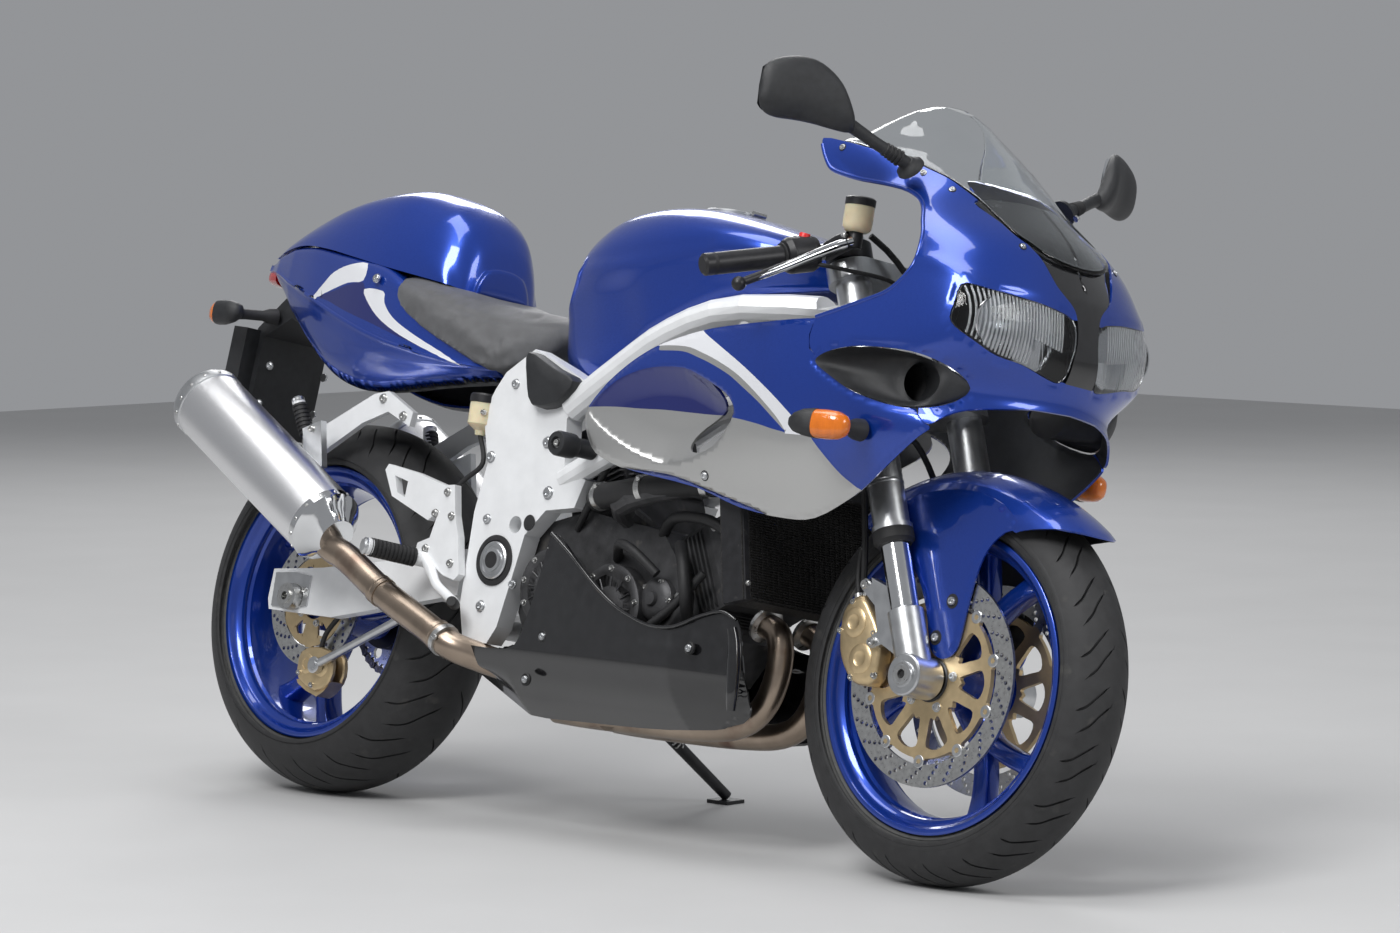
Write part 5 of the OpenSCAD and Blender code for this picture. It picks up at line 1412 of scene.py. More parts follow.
def rear_disc_detail():
    k = Kit(REAR_WHEEL)
    rotor(k, 110, 78, -83, -78, [(104, 0), (97, 5), (90, 10), (83, 15)], 20)
    carrier(k, 76, 42, -82.5, -78.5, 6, 30)
    for i in range(5):
        x, z = turn([(38, 0)], i * 72)[0]
        k.bolt((x, -82.5, z), (0, -1, 0), 5, "sat", 3.5)
    spun(k, [(20, -73), (34, -73), (34, -78.5)][::-1], "blue", 40)
    k.make("rear_disc_detail", "rear_wheel", rep=("rear_disc",), slot="steel", angle=30)


rear_disc_detail()


# sprocket with teeth, and the chain's links
def sprocket_detail():
    k = Kit(REAR_WHEEL)
    teeth = []
    for i in range(42 * 4):
        a = i * 360 / 168
        teeth.append(turn([(90.8 if i % 4 in (1, 2) else 85.5, 0)], a)[0])
    k.slab(teeth, 104.2, 109.8, "steel", holes=[turn(circle(74, 0, 10.5, 16), i * 60) for i in range(6)]
           + [circle(0, 0, 40, 40)])
    spun(k, [(22, 73), (58, 73), (59, 76), (59, 101), (56, 103.6), (22, 103.6)][::-1], "black", 60)
    for i in range(5):
        x, z = turn([(50, 0)], i * 72)[0]
        k.nut((x, 103.8, z), (0, 1, 0), 7, "steel", 6)
    k.make("sprocket_detail", "rear_wheel", rep=("rear_sprocket",), slot="steel", angle=30)


sprocket_detail()


def chain_links():
    k = Kit()
    P0, P1, r0, r1 = Vector((AXR, AZR)), Vector((-112, 392)), 97.5, 41.5
    d = (P1 - P0)
    L0 = d.length
    a0 = math.atan2(d.y, d.x)
    beta = math.acos((r0 - r1) / L0)
    path = []
    for i in range(41):
        a = a0 + beta + (math.tau - 2 * beta) * i / 40
        path.append((P0.x + r0 * math.cos(a), P0.y + r0 * math.sin(a)))
    for i in range(21):
        a = a0 - beta + 2 * beta * i / 20
        path.append((P1.x + r1 * math.cos(a), P1.y + r1 * math.sin(a)))
    q = [Vector(p) for p in dense(path, 2)]
    cum = [0.0]
    for a, b in zip(q, q[1:] + q[:1]):
        cum.append(cum[-1] + (b - a).length)
    nl = 2 * round(cum[-1] / 15.875 / 2)
    qx = [p.x for p in q] + [q[0].x]
    qz = [p.y for p in q] + [q[0].y]
    pins = [(float(np.interp(i * cum[-1] / nl, cum, qx)), float(np.interp(i * cum[-1] / nl, cum, qz)))
            for i in range(nl)]
    for i in range(nl):
        a, b = Vector(pins[i]), Vector(pins[(i + 1) % nl])
        dd = (b - a)
        ang = math.degrees(math.atan2(dd.y, dd.x))
        half_l = dd.length / 2
        o = [(half_l + 6.6 * math.cos(t), 6.6 * math.sin(t))
             for t in [-1.2, -0.5, 0.5, 1.2]] + [(0, 4.6)] + [(-half_l - 6.6 * math.cos(t),
                                                               6.6 * math.sin(t))
                                                              for t in [1.2, 0.5, -0.5, -1.2]] + [(0, -4.6)]
        c = (a + b) / 2
        out = [(c.x + x, c.y + z) for x, z in turn(o, ang)]
        for y0, y1 in (((103.0, 104.6), (109.4, 111.0)) if i % 2 else ((104.7, 105.6), (108.4, 109.3))):
            v = [(x, y0, z) for x, z in out] + [(x, y1, z) for x, z in out]
            n = len(out)
            k.add(v, [tuple(range(n))[::-1], tuple(range(n, 2 * n))]
                  + [(j, (j + 1) % n, n + (j + 1) % n, n + j) for j in range(n)], "chain")
        k.spin((a.x, 102.6, a.y), (a.x, 111.4, a.y),
               [(0, 0), (2.4, 0), (2.4, 2), (4.3, 2.6), (4.3, 6.2), (2.4, 6.8), (2.4, 8.8), (0, 8.8)],
               "chain", 8)
    k.make("chain_links", "chassis", rep=("chain",), slot="steel", angle=35)


chain_links()

# ---------------------------------------------------------- front fender
FENDER_W = 76.0


def fender(a, q):
    """a is the angle round the wheel from straight ahead, q runs across from -90 to 90"""
    t = math.radians(q)
    rad = 256 + 66 * max(0.0, math.cos(t)) ** 0.9 + 14 * min(1, max(0, (78 - a) / 33)) ** 2
    y = FENDER_W * squared(math.sin(t), 0.9)
    a = math.radians(a)
    return (rad * math.cos(a), y, rad * math.sin(a))


# front tip, top, rear; the sides are cut by the line over the tyre
fender_edge = []
FENDER_FRONT, FENDER_REAR = 45.0, 132.0
for q in range(-90, 91, 6):
    tip = FENDER_FRONT + 16 * (abs(q) / 90) ** 1.8
    fender_edge.append((tip * 4, q * 1.1))
for q in range(90, -91, -6):
    end = FENDER_REAR - 6 * (abs(q) / 90) ** 3
    fender_edge.append((end * 4, q * 1.1))


def fender_relief(uv):
    d = np.abs(np.abs(uv[:, 1] / 1.1) - 52)
    edge = gap(uv, fender_edge, True)
    return 1.6 * np.exp(-(d / 7) ** 2) - 1.2 * (1 - step(edge, 0, 9))


panel("fender_top", lambda u, v: fender(u / 4, v / 1.1), fender_edge, ["blue"], body="steering", h=8, t=3,
      rep=("front_fender",), relief=fender_relief, out=lambda p: (p[0], p[1], p[2]),
      mtx=FRONT_WHEEL, du=0.8)
LEGS = [(-150, 214), (-96, 262), (-40, 280), (30, 284), (92, 268), (132, 236), (104, 226), (78, 200),
        (64, 160), (56, 110), (50, 62), (40, 40), (20, 32), (0, 40), (-12, 62), (-26, 104), (-52, 150),
        (-92, 186)]
leg_loop = loop_of(LEGS, 3)
for s, label in ((-1, "right"), (1, "left")):
    panel("fender_leg_" + label, lambda x, z,
          s=s: (x, s * (76.3 + 2.7 * min(1, max(0, (235 - z) / 60))), z), leg_loop, ["blue"],
          body="steering", h=9, t=3,
          relief=lambda uv: -2.0 * (1 - step(gap(uv, leg_loop, True), 0, 9)), out=lambda p,
          s=s: (0, s, 0), mtx=FRONT_WHEEL, du=1.0)


def fender_screws():
    k = Kit(FRONT_WHEEL)
    for x, z in ((4, 62), (26, 118)):
        k.bolt((x, -78, z), (0, -1, 0), 6.5, "sat", mirror=True)
        k.spin((x, -77, z), (x, -80, z), [(0, 0), (12, 0), (11, 2.6), (0, 2.6)], "soft", 24, mirror=True)
    k.make("fender_screws", "steering", slot="steel")


fender_screws()


# --------------------------------------------------------- front calipers
def front_caliper(s, label):
    k = Kit(FORK)
    body = [(-86, 24), (-66, 58), (-60, 92), (-68, 126), (-80, 156), (-102, 158), (-122, 146),
            (-134, 122), (-142, 92), (-140, 62), (-128, 34), (-106, 22)]
    lp = loop_of(body, 2)

    def shrink(p, f, c=(-102, 92)):
        return [(c[0] + (x - c[0]) * f, c[1] + (z - c[1]) * f) for x, z in p]

    def yy(v):
        return -v * s
    # outer half, bridge and inner half
    for (ya, yb) in ((73.5, 103), (46.5, 64.5)):
        seq = [(ya, 0.97), (ya + 1.5, 1.0), (yb - 7, 1.0), (yb - 2.5, 0.95),
               (yb, 0.86)] if ya > 70 else [(ya, 0.88), (ya + 4, 0.97), (yb - 2, 1.0), (yb, 0.98)]
        rg = [[(x, yy(y), z) for x, z in shrink(lp, f)] for y, f in seq]
        k.rings(rg if s == 1 else [r[::-1] for r in rg], "gold")
    br = [(-120, 50), (-141, 72), (-143, 98), (-134, 124), (-118, 136), (-112, 100)]
    rg = [[(x, yy(y), z) for x, z in loop_of(br, 2)] for y in (60, 78)]
    k.rings(rg if s == 1 else [r[::-1] for r in rg], "gold")
    for z in (62, 120):
        c = (-102, yy(101), z)
        k.spin(c, (c[0], yy(110), z), [(23, 0), (23, 2.5), (21, 4.2), (12, 4.6), (10, 3.0), (0, 3.0)],
               "gold", 32)
    for p in ((-84, 30), (-128, 42), (-134, 118), (-100, 152), (-70, 92)):
        k.bolt((p[0], yy(99), p[1]), (0, -s, 0), 4.6, "steel", 4)
    # bleed nipple, banjo and mounting arms
    k.spin((-86, yy(88), 156), (-80, yy(88), 178),
           [(4.5, 0), (4.5, 8), (3, 8), (3, 14), (4, 15), (4, 20), (0, 20)], "steel", 12)
    k.spin((-98, yy(88), 158), (-98, yy(88), 166), [(8, 0), (8, 7), (6, 8), (0, 8)], "steel", 18)
    for p, q, w0, w1 in (((-14, 92), (-64, 166), 15, 9), ((-16, 84), (-68, 76), 17, 9)):
        dx, dz = q[0] - p[0], q[1] - p[1]
        e = math.hypot(dx, dz)
        nx, nz = -dz / e, dx / e
        arm = [(p[0] + nx * w0, p[1] + nz * w0), (p[0] - nx * w0, p[1] - nz * w0)]
        for i in range(9):
            an = -math.pi / 2 + math.pi * i / 8
            arm.append((q[0] + w1 * (dx / e * math.cos(an) + nx * math.sin(an)),
                        q[1] + w1 * (dz / e * math.cos(an) + nz * math.sin(an))))
        k.slab(arm, *(sorted((yy(98), yy(110)))), "sat")
    k.bolt((-64, yy(109), 166), (0, -s, 0), 7, "steel")
    k.bolt((-68, yy(111), 76), (0, -s, 0), 7, "steel")
    k.tube([(-98, yy(88), 166), (-97, yy(85), 190), (-90, yy(84), 215), (-78, yy(88), 232)], 4.6, "soft",
           10)
    k.make("caliper_detail_" + label, "steering", rep=("front_caliper_" + label,), slot="gold", angle=40)


for s, label in ((1, "right"), (-1, "left")):
    front_caliper(s, label)


# fork details: bright slider, seal, pinch bolts and axle nut
def fork_detail():
    k = Kit(FORK)
    for s in (1, -1):
        y = -105 * s
        k.spin((0, y, 100), (0, y, 216), [(21.8, 0), (21.8, 116)], "chrome", 40)
        k.spin((0, y, 206), (0, y, 232), [(22, 0), (26, 0), (27.5, 3), (31.3, 6), (31.3, 22), (30, 24),
                                          (28, 25)], "soft", 40)
        k.spin((0, y, 96), (0, y, 106), [(27.2, 0), (27.2, 4), (24, 8), (21.8, 9)], "sat", 40)
        k.spin((0, y - s * 26, 0), (0, y - s * 40, 0),
               [(20, 0), (20, 4), (19, 6.5), (13, 7.2), (12.6, 0)], "sat", 40)
        k.spin((0, y - s * 26, 0), (0, y - s * 40, 0), [(0, 2), (12.8, 2), (12.8, 3)], "soft", 6)
        k.spin((0, y - s * 26, 0), (0, y - s * 40, 0),
               [(24, -8), (31, -8), (31, 0.5), (29, 2.5), (24, 2.5)], "sat", 48)
        k.bolt((-25, y - s * 12, -14), (-1, 0, 0), 5.5, "steel")
        k.bolt((-25, y + s * 8, -14), (-1, 0, 0), 5.5, "steel")
        k.spin((0, y, 698), (0, y, 712), [(27, 0), (27, 3), (24, 5), (12, 5.4), (11, 9), (6, 9.4),
                                          (0, 9)], "sat", 32)
        k.spin((0, y, 300), (0, y, 306), [(27.9, 0), (28.3, 1), (28.3, 5), (27.9, 6)], "sat", 40)
    k.spin((-YOKE, 0, 660), (-YOKE, 0, 680), [(21, 0), (21, 8), (19, 11), (13, 12), (12, 8), (0, 8)],
           "sat", 32)
    k.make("fork_detail", "steering", slot="cast_silver", angle=35)


fork_detail()

# ------------------------------------------------- grips, levers, tanks
# ends of the right handlebar
GRIP_A, GRIP_B = Vector((438, -136, 926)), Vector((361, -340, 863))
GRIP_L = (GRIP_B - GRIP_A).length


def controls(s, label):
    m = lambda p: (p[0], p[1] * s, p[2])
    k = Kit()
    a, b = m(GRIP_A), m(GRIP_B)
    ribs = []
    for i in range(29):
        h = 96 + i * 4
        ribs += [(16.9, h), (16.9, h + 2.6), (16.1, h + 3.0), (16.1, h + 3.7)]
    k.spin(a, b, [(12, 92), (20.5, 92), (20.5, 95), (16.9, 95.8)] + ribs
           + [(16.9, GRIP_L - 22), (12, GRIP_L - 21)], "soft", 30)
    k.spin(a, b, [(12, GRIP_L - 20), (15.5, GRIP_L - 20), (16.8, GRIP_L - 17), (16.8, GRIP_L - 5),
                  (13, GRIP_L), (0, GRIP_L)], "black", 30)
    k.spin(a, b, [(11.8, 20), (12.2, 20), (12.2, 46), (11.8, 46)], "sat", 24)
    # lever with a ball end
    pts = [m(p) for p in ((484, -156, 937), (474, -176, 926), (462, -214, 904), (446, -262, 874),
                          (428, -312, 845))]
    k.tube(pts, lambda t: 8.6 - 3.2 * t, "chrome", 14, 6)
    e = m((425, -320, 840))
    k.spin((e[0] + 4, e[1] + 10 * s, e[2] + 5), (e[0] - 4, e[1] - 10 * s, e[2] - 5),
           [(0, 1), (5, 2), (8.8, 6), (10.4, 12), (8.8, 18), (5, 22), (0, 23)], "chrome", 20)
    # bracket and pivot
    k.spin(m((484, -150, 928)), m((484, -150, 952)),
           [(0, 0), (10.6, 0), (11.4, 2), (11.4, 20), (9, 24), (0, 24)], "black", 24)
    k.bolt(m((478, -168, 943)), (0.3, 0, 1), 4.5, "steel")
    k.tube([m((436, -158, 926)), m((456, -156, 938)), m((474, -154, 944))], 9, "black", 12, 3)
    if s == 1:
        k.spin((484, -150, 952), (484, -150, 1010),
               [(0, 0), (16, 0), (20, 3), (22.5, 7), (22.8, 12), (22.8, 40), (20, 41)], "cream", 36)
        k.spin((484, -150, 992), (484, -150, 1010),
               [(20, 0), (23.4, 0.5), (23.4, 11), (20, 13.5), (0, 13.5)], "black", 36)
    else:
        k.spin((484, 150, 952), (484, 150, 1000), [(0, 0), (13, 0), (16, 3), (17.8, 6), (17.8, 30)],
               "cream", 32)
        k.spin((484, 150, 981), (484, 150, 1000), [(16, 0), (18.4, 1), (18.4, 12), (15, 14), (0, 14)],
               "black", 32)
    # switch block
    c = Vector(a) + (Vector(b) - Vector(a)).normalized() * 64
    u = (Vector(b) - Vector(a)).normalized()
    k.spin(c - u * 18, c + u * 18, [(24, 0), (28.4, 3), (28.4, 33), (24, 36)], "black", 30)
    up = Vector((0.15, 0, 1))
    k.spin(c + up * 22, c + up * 34, [(0, 0), (9, 0), (9, 9), (7.5, 11), (0, 11)], "switch" if s == 1
           else "plastic", 16)
    k.spin(c + up * 20 + u * 14, c + up * 32 + u * 14, [(0, 0), (5, 0), (5, 9), (0, 10)], "plastic", 14)
    k.tube([tuple(c - u * 12 + Vector((12, 0, -14))), tuple(c - u * 44 + Vector((40, 0, -26))),
            m((500, -70, 890)), m((470, -40, 860))], 3.4, "soft", 8, 6)
    k.make("controls_" + label, "steering", slot="black_metal", angle=38)


for s, label in ((1, "right"), (-1, "left")):
    controls(s, label)


# --------------------------------------------------------- rear caliper
def rear_brake_detail():
    k = Kit()
    for ya, yb in ((-102, -89), (-76, -62)):
        lp = loop_of([(-692, 226), (-660, 236), (-622, 232), (-608, 208), (-612, 180), (-642, 162),
                      (-690, 180), (-697, 204)], 2)
        k.rings([[(-652 + (x + 652) * f, y, 200 + (z - 200) * f) for x, z in lp]
                 for y, f in ((yb, 0.9), (yb - 3, 0.98), (ya + 4, 1.0), (ya + 1, 0.95), (ya, 0.86))],
                "gold")
    k.rings([[(x, y, z) for x, z in loop_of([(-690, 180), (-640, 162), (-612, 182), (-616, 176),
                                             (-642, 154), (-694, 172)], 2)] for y in (-66, -96)], "gold")
    for x, z in ((-672, 206), (-634, 204)):
        k.spin((x, -100, z), (x, -108, z), [(17, 0), (17, 2), (15, 3.6), (9, 4), (8, 2.6), (0, 2.6)],
               "gold", 26)
    for x, z in ((-688, 190), (-616, 222), (-652, 172)):
        k.bolt((x, -101, z), (0, -1, 0), 4.5, "steel", 3.5)
    k.spin((-660, -84, 232), (-664, -84, 252),
           [(4.5, 0), (4.5, 8), (3, 8), (3, 14), (4, 15), (4, 19), (0, 19)], "steel", 12)
    arm = [Vector((-640, -109.3, 205)), Vector((-438, -110, 302))]
    k.tube([tuple(arm[0] + (arm[1] - arm[0]) * t) for t in (0, 0.12, 0.5, 0.88, 1)],
           lambda t: 8.4 - 1.6 * math.sin(math.pi * t), "sat", 18, 4)
    k.spin((-640, -98, 205), (-640, -119, 205),
           [(0, 0), (13.5, 0), (14, 1), (14, 17), (12.5, 18), (8, 18), (8, 21), (0, 21)], "sat", 28)
    k.tube([(-652, -92, 236), (-640, -96, 262), (-600, -100, 300), (-560, -104, 330), (-500, -106, 350)],
           4.4, "soft", 10, 6)
    k.make("rear_brake_detail", "chassis", rep=("rear_caliper",), slot="gold", angle=38)


rear_brake_detail()


# --------------------------------------------- instruments, inside mounts
def dials():
    k = Kit(PARK @ Matrix.Translation((640, 0, 990)) @ Matrix.Rotation(math.radians(38), 4, "Y"))
    for y, r in ((-70, 33), (0, 43), (70, 33)):
        k.spin((0, y, 15), (0, y, 22), [(0, 1.4), (r - 4, 1.4), (r - 3, 4.5), (r - 0.5, 4.5), (r, 3),
                                        (r, 0)], "plastic", 48)
        k.spin((0, y, 17), (0, y, 18), [(r - 5, 0.6), (r - 7, 0.6)], "stripe", 48)
        for i in range(21):
            a = math.radians(-225 + i * 13.5)
            p = Vector((math.sin(a + math.pi / 2) * (r - 8), y + math.cos(a + math.pi / 2) * (r - 8), 17.0))
            q2 = Vector((math.sin(a + math.pi / 2) * (r - 12), y + math.cos(a + math.pi / 2) * (r - 12),
                         17.0))
            k.spin(p, q2, [(0.5, 0), (0.5, 4)], "stripe", 4)
        k.spin((0, y, 17), (0, y, 21), [(0, 3), (4, 3), (4.5, 0)], "plastic", 16)
        k.spin((0, y, 18.4), (-(r - 12) * 0.7, y - (r - 12) * 0.6, 18.4), [(1.3, 0), (0.4, r - 12)],
               "switch", 6)
    k.make("dials", "chassis", slot="black_plastic", angle=40)


dials()


# --------------------------------------------------------------- mirrors
def mirror_heads():
    k = Kit()
    sec = [(-282, 564, 1088, 9, 10), (-294, 562, 1097, 17, 21), (-314, 553, 1114, 23, 37),
           (-338, 536, 1126, 26, 46), (-362, 523, 1128, 27, 48), (-388, 515, 1124, 26, 46),
           (-407, 511, 1121, 22, 41), (-420, 510, 1120, 15, 32), (-426, 510, 1119, 6, 20)]
    rg = []
    for y, x, z, dx, dz in line_of(sec, 4):
        ring = []
        for j in range(28):
            t = j * math.tau / 28
            cx, cz = math.cos(t), math.sin(t)
            px = dx * (cx if cx > 0 else cx * 0.42)
            ring.append((x + px + 4, y, z + dz * squared(cz, 0.85)))
        rg.append(ring)
    k.rings(rg, "plastic", mirror=True)
    face = []
    for y, x, z, dx, dz in line_of(sec[2:-1], 3):
        face.append((y, x - dx * 0.42 + 2.2, z, dz * 0.86))
    top = [(x, y, z + d) for y, x, z, d in face]
    bot = [(x, y, z - d) for y, x, z, d in face]
    middle = [((a[0] + b[0]) / 2 - 1.6, a[1], (a[2] + b[2]) / 2) for a, b in zip(top, bot)]
    k.rings([top, middle, bot], "mirror", close=False, caps=False, mirror=True)
    arm = [(566, -288, 1091), (574, -262, 1081), (584, -236, 1070), (597, -200, 1057), (600, -182, 1050)]
    k.tube(arm, lambda t: 11 - 1.5 * math.sin(math.pi * t), "plastic", 18, 6, mirror=True)
    for i in range(5):
        c = Vector(arm[3]) + (Vector(arm[2]) - Vector(arm[3])) * (i * 0.16)
        dd = (Vector(arm[2]) - Vector(arm[3])).normalized()
        k.spin(c - dd * 2, c + dd * 2, [(9.5, 0), (12.6 - i * 0.4, 1), (12.6 - i * 0.4, 3), (9.5, 4)],
               "soft", 22, mirror=True)
    k.spin((600, -174, 1046), (600, -194, 1060), [(0, 0), (22, 0), (21, 6), (14, 10), (11, 16), (0, 17)],
           "plastic", 30, mirror=True)
    for x, z in ((572, 1060), (628, 1040)):
        k.bolt((x, -176, z), (0.1, -0.8, 0.5), 4.2, "steel", mirror=True)
    k.make("mirror_heads", "chassis", rep=("mirror_right", "mirror_left"), slot="black_plastic", angle=52)


mirror_heads()


# ------------------------------------------------------------ indicators
def indicators():
    k = Kit()

    def pod(rings, name, k=k, n=26):
        """rings (x, y, z, ry, rz)"""
        k.rings([[(x, y + ry * squared(math.cos(t), 0.75), z + rz * squared(math.sin(t), 0.8))
                  for t in [j * math.tau / n for j in range(n)]] for x, y, z, ry, rz in rings], name,
                mirror=True)

    pod([(570, -314, 640, 7, 8), (578, -311, 640, 13, 15), (592, -307, 641, 17, 20),
         (606, -303, 641, 18.5, 22), (612, -301, 641, 18, 22)], "plastic")
    pod([(612, -301, 641, 17.4, 21.3), (628, -297, 641, 18.2, 22), (646, -294, 641, 17, 20.5),
         (657, -292, 641, 12.5, 15), (662, -291, 641, 6, 8)], "amber")
    k.spin((630, -286, 642), (632, -229, 644),
           [(0, 0), (13, 0), (11, 8), (11, 30), (16, 44), (17, 56), (0, 56)], "soft", 24, mirror=True)
    pod([(-1008, -145, 780, 6, 8), (-1004, -145.4, 780, 13, 15), (-996, -146, 781, 15.6, 19),
         (-990, -146.4, 781.4, 16.2, 20)], "amber")
    pod([(-990, -146.4, 781.4, 17, 21), (-976, -147, 782, 17.4, 21), (-956, -148, 784, 16.5, 18.6),
         (-940, -148, 785, 12, 13), (-934, -148, 785.5, 5, 6)], "plastic")
    k.spin((-954, -134, 783), (-934, -66, 790),
           [(0, 0), (10, 0), (9, 12), (9, 44), (13, 56), (14, 70), (0, 70)], "soft", 20, mirror=True)
    k.make("indicators", "chassis", rep=("front_indicators", "rear_indicators"), slot="amber", angle=45)


indicators()


# ------------------------------------------------- engine and its fittings
def engine_fittings():
    k = Kit()
    # clutch cover, generator cover and their screws
    for (x, z, y, r, s) in ((60, 350, -137, 69, -1), (-78, 372, -141, 61, -1), (80, 372, 139, 72, 1),
                            (-30, 360, 135, 60, 1)):
        k.spin((x, y, z), (x, y + s * 6, z),
               [(r, -2), (r, 1), (r - 4, 3), (r - 12, 3.2), (r - 16, 1), (r * 0.5, 1), (r * 0.42, 3.4),
                (0, 4.4)], "cast", 56)
        for i in range(9):
            a = i * math.tau / 9 + 0.2
            k.bolt((x + (r - 7) * math.cos(a), y + s * 2.4, z + (r - 7) * math.sin(a)), (0, s, 0), 4.2,
                   "steel", 3)
        for i in range(12):
            a = i * math.tau / 12
            k.tube([(x + r * 0.45 * math.cos(a), y + s * 1.5, z + r * 0.45 * math.sin(a)),
                    (x + r * 0.72 * math.cos(a), y + s * 1.5, z + r * 0.72 * math.sin(a))], 1.6, "cast",
                   6, 1)

    def block(o, rot, lo, hi, name, n=6, gap_=7.0, thick=2.6, grow=6):
        """cooling fins round a cylinder block that stands at o, turned about Y by rot degrees"""
        R = Matrix.Translation(o) @ Matrix.Rotation(math.radians(rot), 4, "Y")
        for i in range(n):
            z0 = lo[2] + i * gap_
            x0, x1, y0, y1, c = lo[0] - grow, hi[0] + grow, lo[1] - grow, hi[1] + grow, 16
            ring = [(x0 + c, y0), (x1 - c, y0), (x1, y0 + c), (x1, y1 - c), (x1 - c, y1), (x0 + c, y1),
                    (x0, y1 - c), (x0, y0 + c)]
            k.rings([[tuple(R @ Vector((x, y, z))) for x, y in ring] for z in (z0, z0 + thick)], name)

    block((150, 0, 395), 62, (-70, -85, 40), (70, 85, 158), "cast", 5, 9)
    block((-20, 0, 470), -24, (-70, -85, 60), (60, 85, 180), "cast", 5, 9)
    for s in (-1, 1):
        # cam covers
        R = Matrix.Translation((150, 0, 395)) @ Matrix.Rotation(math.radians(62), 4, "Y")
        k.rings([[tuple(R @ Vector((x, s * y, z)))
                  for x, z in ((-58, 100), (58, 100), (64, 112), (64, 150), (50, 164), (-50, 164),
                               (-64, 150), (-64, 112))][::s] for y in (84, 95)], "cast")
        for x, z in ((-52, 112), (52, 112), (-52, 152), (52, 152), (0, 158)):
            p = R @ Vector((x, s * 95, z))
            k.bolt(p, (0, s, 0), 4.6, "steel", 3)
        R2 = Matrix.Translation((-20, 0, 470)) @ Matrix.Rotation(math.radians(-24), 4, "Y")
        k.rings([[tuple(R2 @ Vector((x, s * y, z)))
                  for x, z in ((-58, 110), (48, 110), (54, 124), (54, 164), (40, 178), (-50, 178),
                               (-64, 164), (-64, 124))][::s] for y in (84, 95)], "cast")
    # big water hose with clamps along the right side of the engine
    hose = [(-10, -124, 520), (24, -150, 522), (70, -158, 528), (130, -163, 538), (196, -162, 548),
            (250, -150, 555), (300, -134, 560)]
    k.tube(hose, 20.5, "soft", 22, 6)
    for i in (1, 3, 5):
        c, n2 = Vector(hose[i]), Vector(hose[min(i + 1, 6)])
        dd = (n2 - c).normalized()
        k.spin(c - dd * 6, c + dd * 6, [(20.6, 0), (22.6, 0.5), (22.6, 11.5), (20.6, 12)], "steel", 28)
        k.bolt(tuple(c + Vector((0, -18, 14))), (0, -0.6, 0.8), 4, "steel")
    for pts, r in (([(40, -112, 430), (80, -150, 450), (120, -156, 440), (160, -140, 410)], 8),
                   ([(180, -118, 460), (214, -140, 430), (230, -140, 380), (214, -110, 340)], 10),
                   ([(100, -120, 300), (150, -142, 320), (196, -134, 360), (240, -118, 420)], 7),
                   ([(20, 118, 440), (60, 150, 470), (130, 156, 480), (220, 140, 520)], 11),
                   ([(-60, -112, 470), (-30, -128, 500), (10, -140, 560), (30, -138, 600)], 6),
                   ([(120, -100, 470), (170, -128, 500), (250, -130, 500), (300, -110, 470)], 9)):
        k.tube(pts, r, "soft", 12, 5)
    for x, z in ((150, 300), (100, 284), (190, 380), (20, 280)):
        k.nut((x, -112, z), (0, -1, 0), 7, "steel")
    # water pump and its cover
    k.spin((150, -108, 372), (150, -134, 372),
           [(34, 0), (34, 16), (28, 22), (20, 24), (12, 24), (10, 30), (0, 31)], "cast", 36)
    for i in range(5):
        a = i * math.tau / 5
        k.bolt((150 + 29 * math.cos(a), -126, 372 + 29 * math.sin(a)), (0, -1, 0), 4, "steel", 3)
    k.make("engine_fittings", "chassis", slot="black_metal", angle=35)


engine_fittings()


# radiator core with its ribs, tanks and cap
def radiator_detail():
    k = Kit(PARK @ Matrix.Translation((352, 0, 470)) @ Matrix.Rotation(math.radians(-14), 4, "Y"))
    for i in range(46):
        z = -92 + i * 4.05
        k.rings([[(x, y, zz) for x, zz in ((18.2, z), (20.6, z + 0.6), (20.6, z + 1.4), (18.2, z + 2.0))]
                 for y in (-164, 164)], "core")
    for i in range(28):
        y = -160 + i * 11.85
        k.rings([[(x, yy2, z) for x, yy2 in ((17.5, y), (19.6, y), (19.6, y + 1.6), (17.5, y + 1.6))]
                 for z in (-94, 94)], "core")
    for s in (-1, 1):
        k.rings([[(x, s * y, z) for x, y in ((-20, 165), (20, 165), (23.5, 169), (23.5, 178), (20, 182.5),
                                             (-20, 182.5), (-23.5, 178), (-23.5, 169))][::s]
                 for z in (-96, 96)], "black")
        for z in (-70, 70):
            k.bolt((23.4, s * 173, z), (1, 0, 0), 4, "steel", 3)
    k.spin((0, -174, 92), (0, -174, 110),
           [(18, 0), (18, 4), (14, 5), (14, 12), (17, 13), (17, 17), (0, 18)], "steel", 28)
    k.make("radiator_detail", "chassis", slot="black_metal", angle=35)


radiator_detail()


# exhaust headers: visible front bends with flanges
def header_pipes():
    k = Kit()
    path = [(318, -48, 356), (352, -48, 340), (362, -48, 290), (346, -50, 232), (300, -54, 196),
            (200, -60, 184), (0, -66, 182), (-90, -67, 184)]
    k.tube(path, 20.4, "pipe", 28, 7, mirror=True)
    k.spin((320, -48, 356), (332, -48, 350), [(20, -4), (30, -3), (30, 3), (24, 4), (20, 6)], "steel", 28,
           mirror=True)
    k.spin((40, -80, 183), (40, 80, 183), [(0, 0), (21.4, 0), (21.4, 160), (0, 160)], "pipe", 28)
    k.make("header_pipes", "chassis", rep=("exhaust_headers",), slot="pipe", angle=45)


header_pipes()


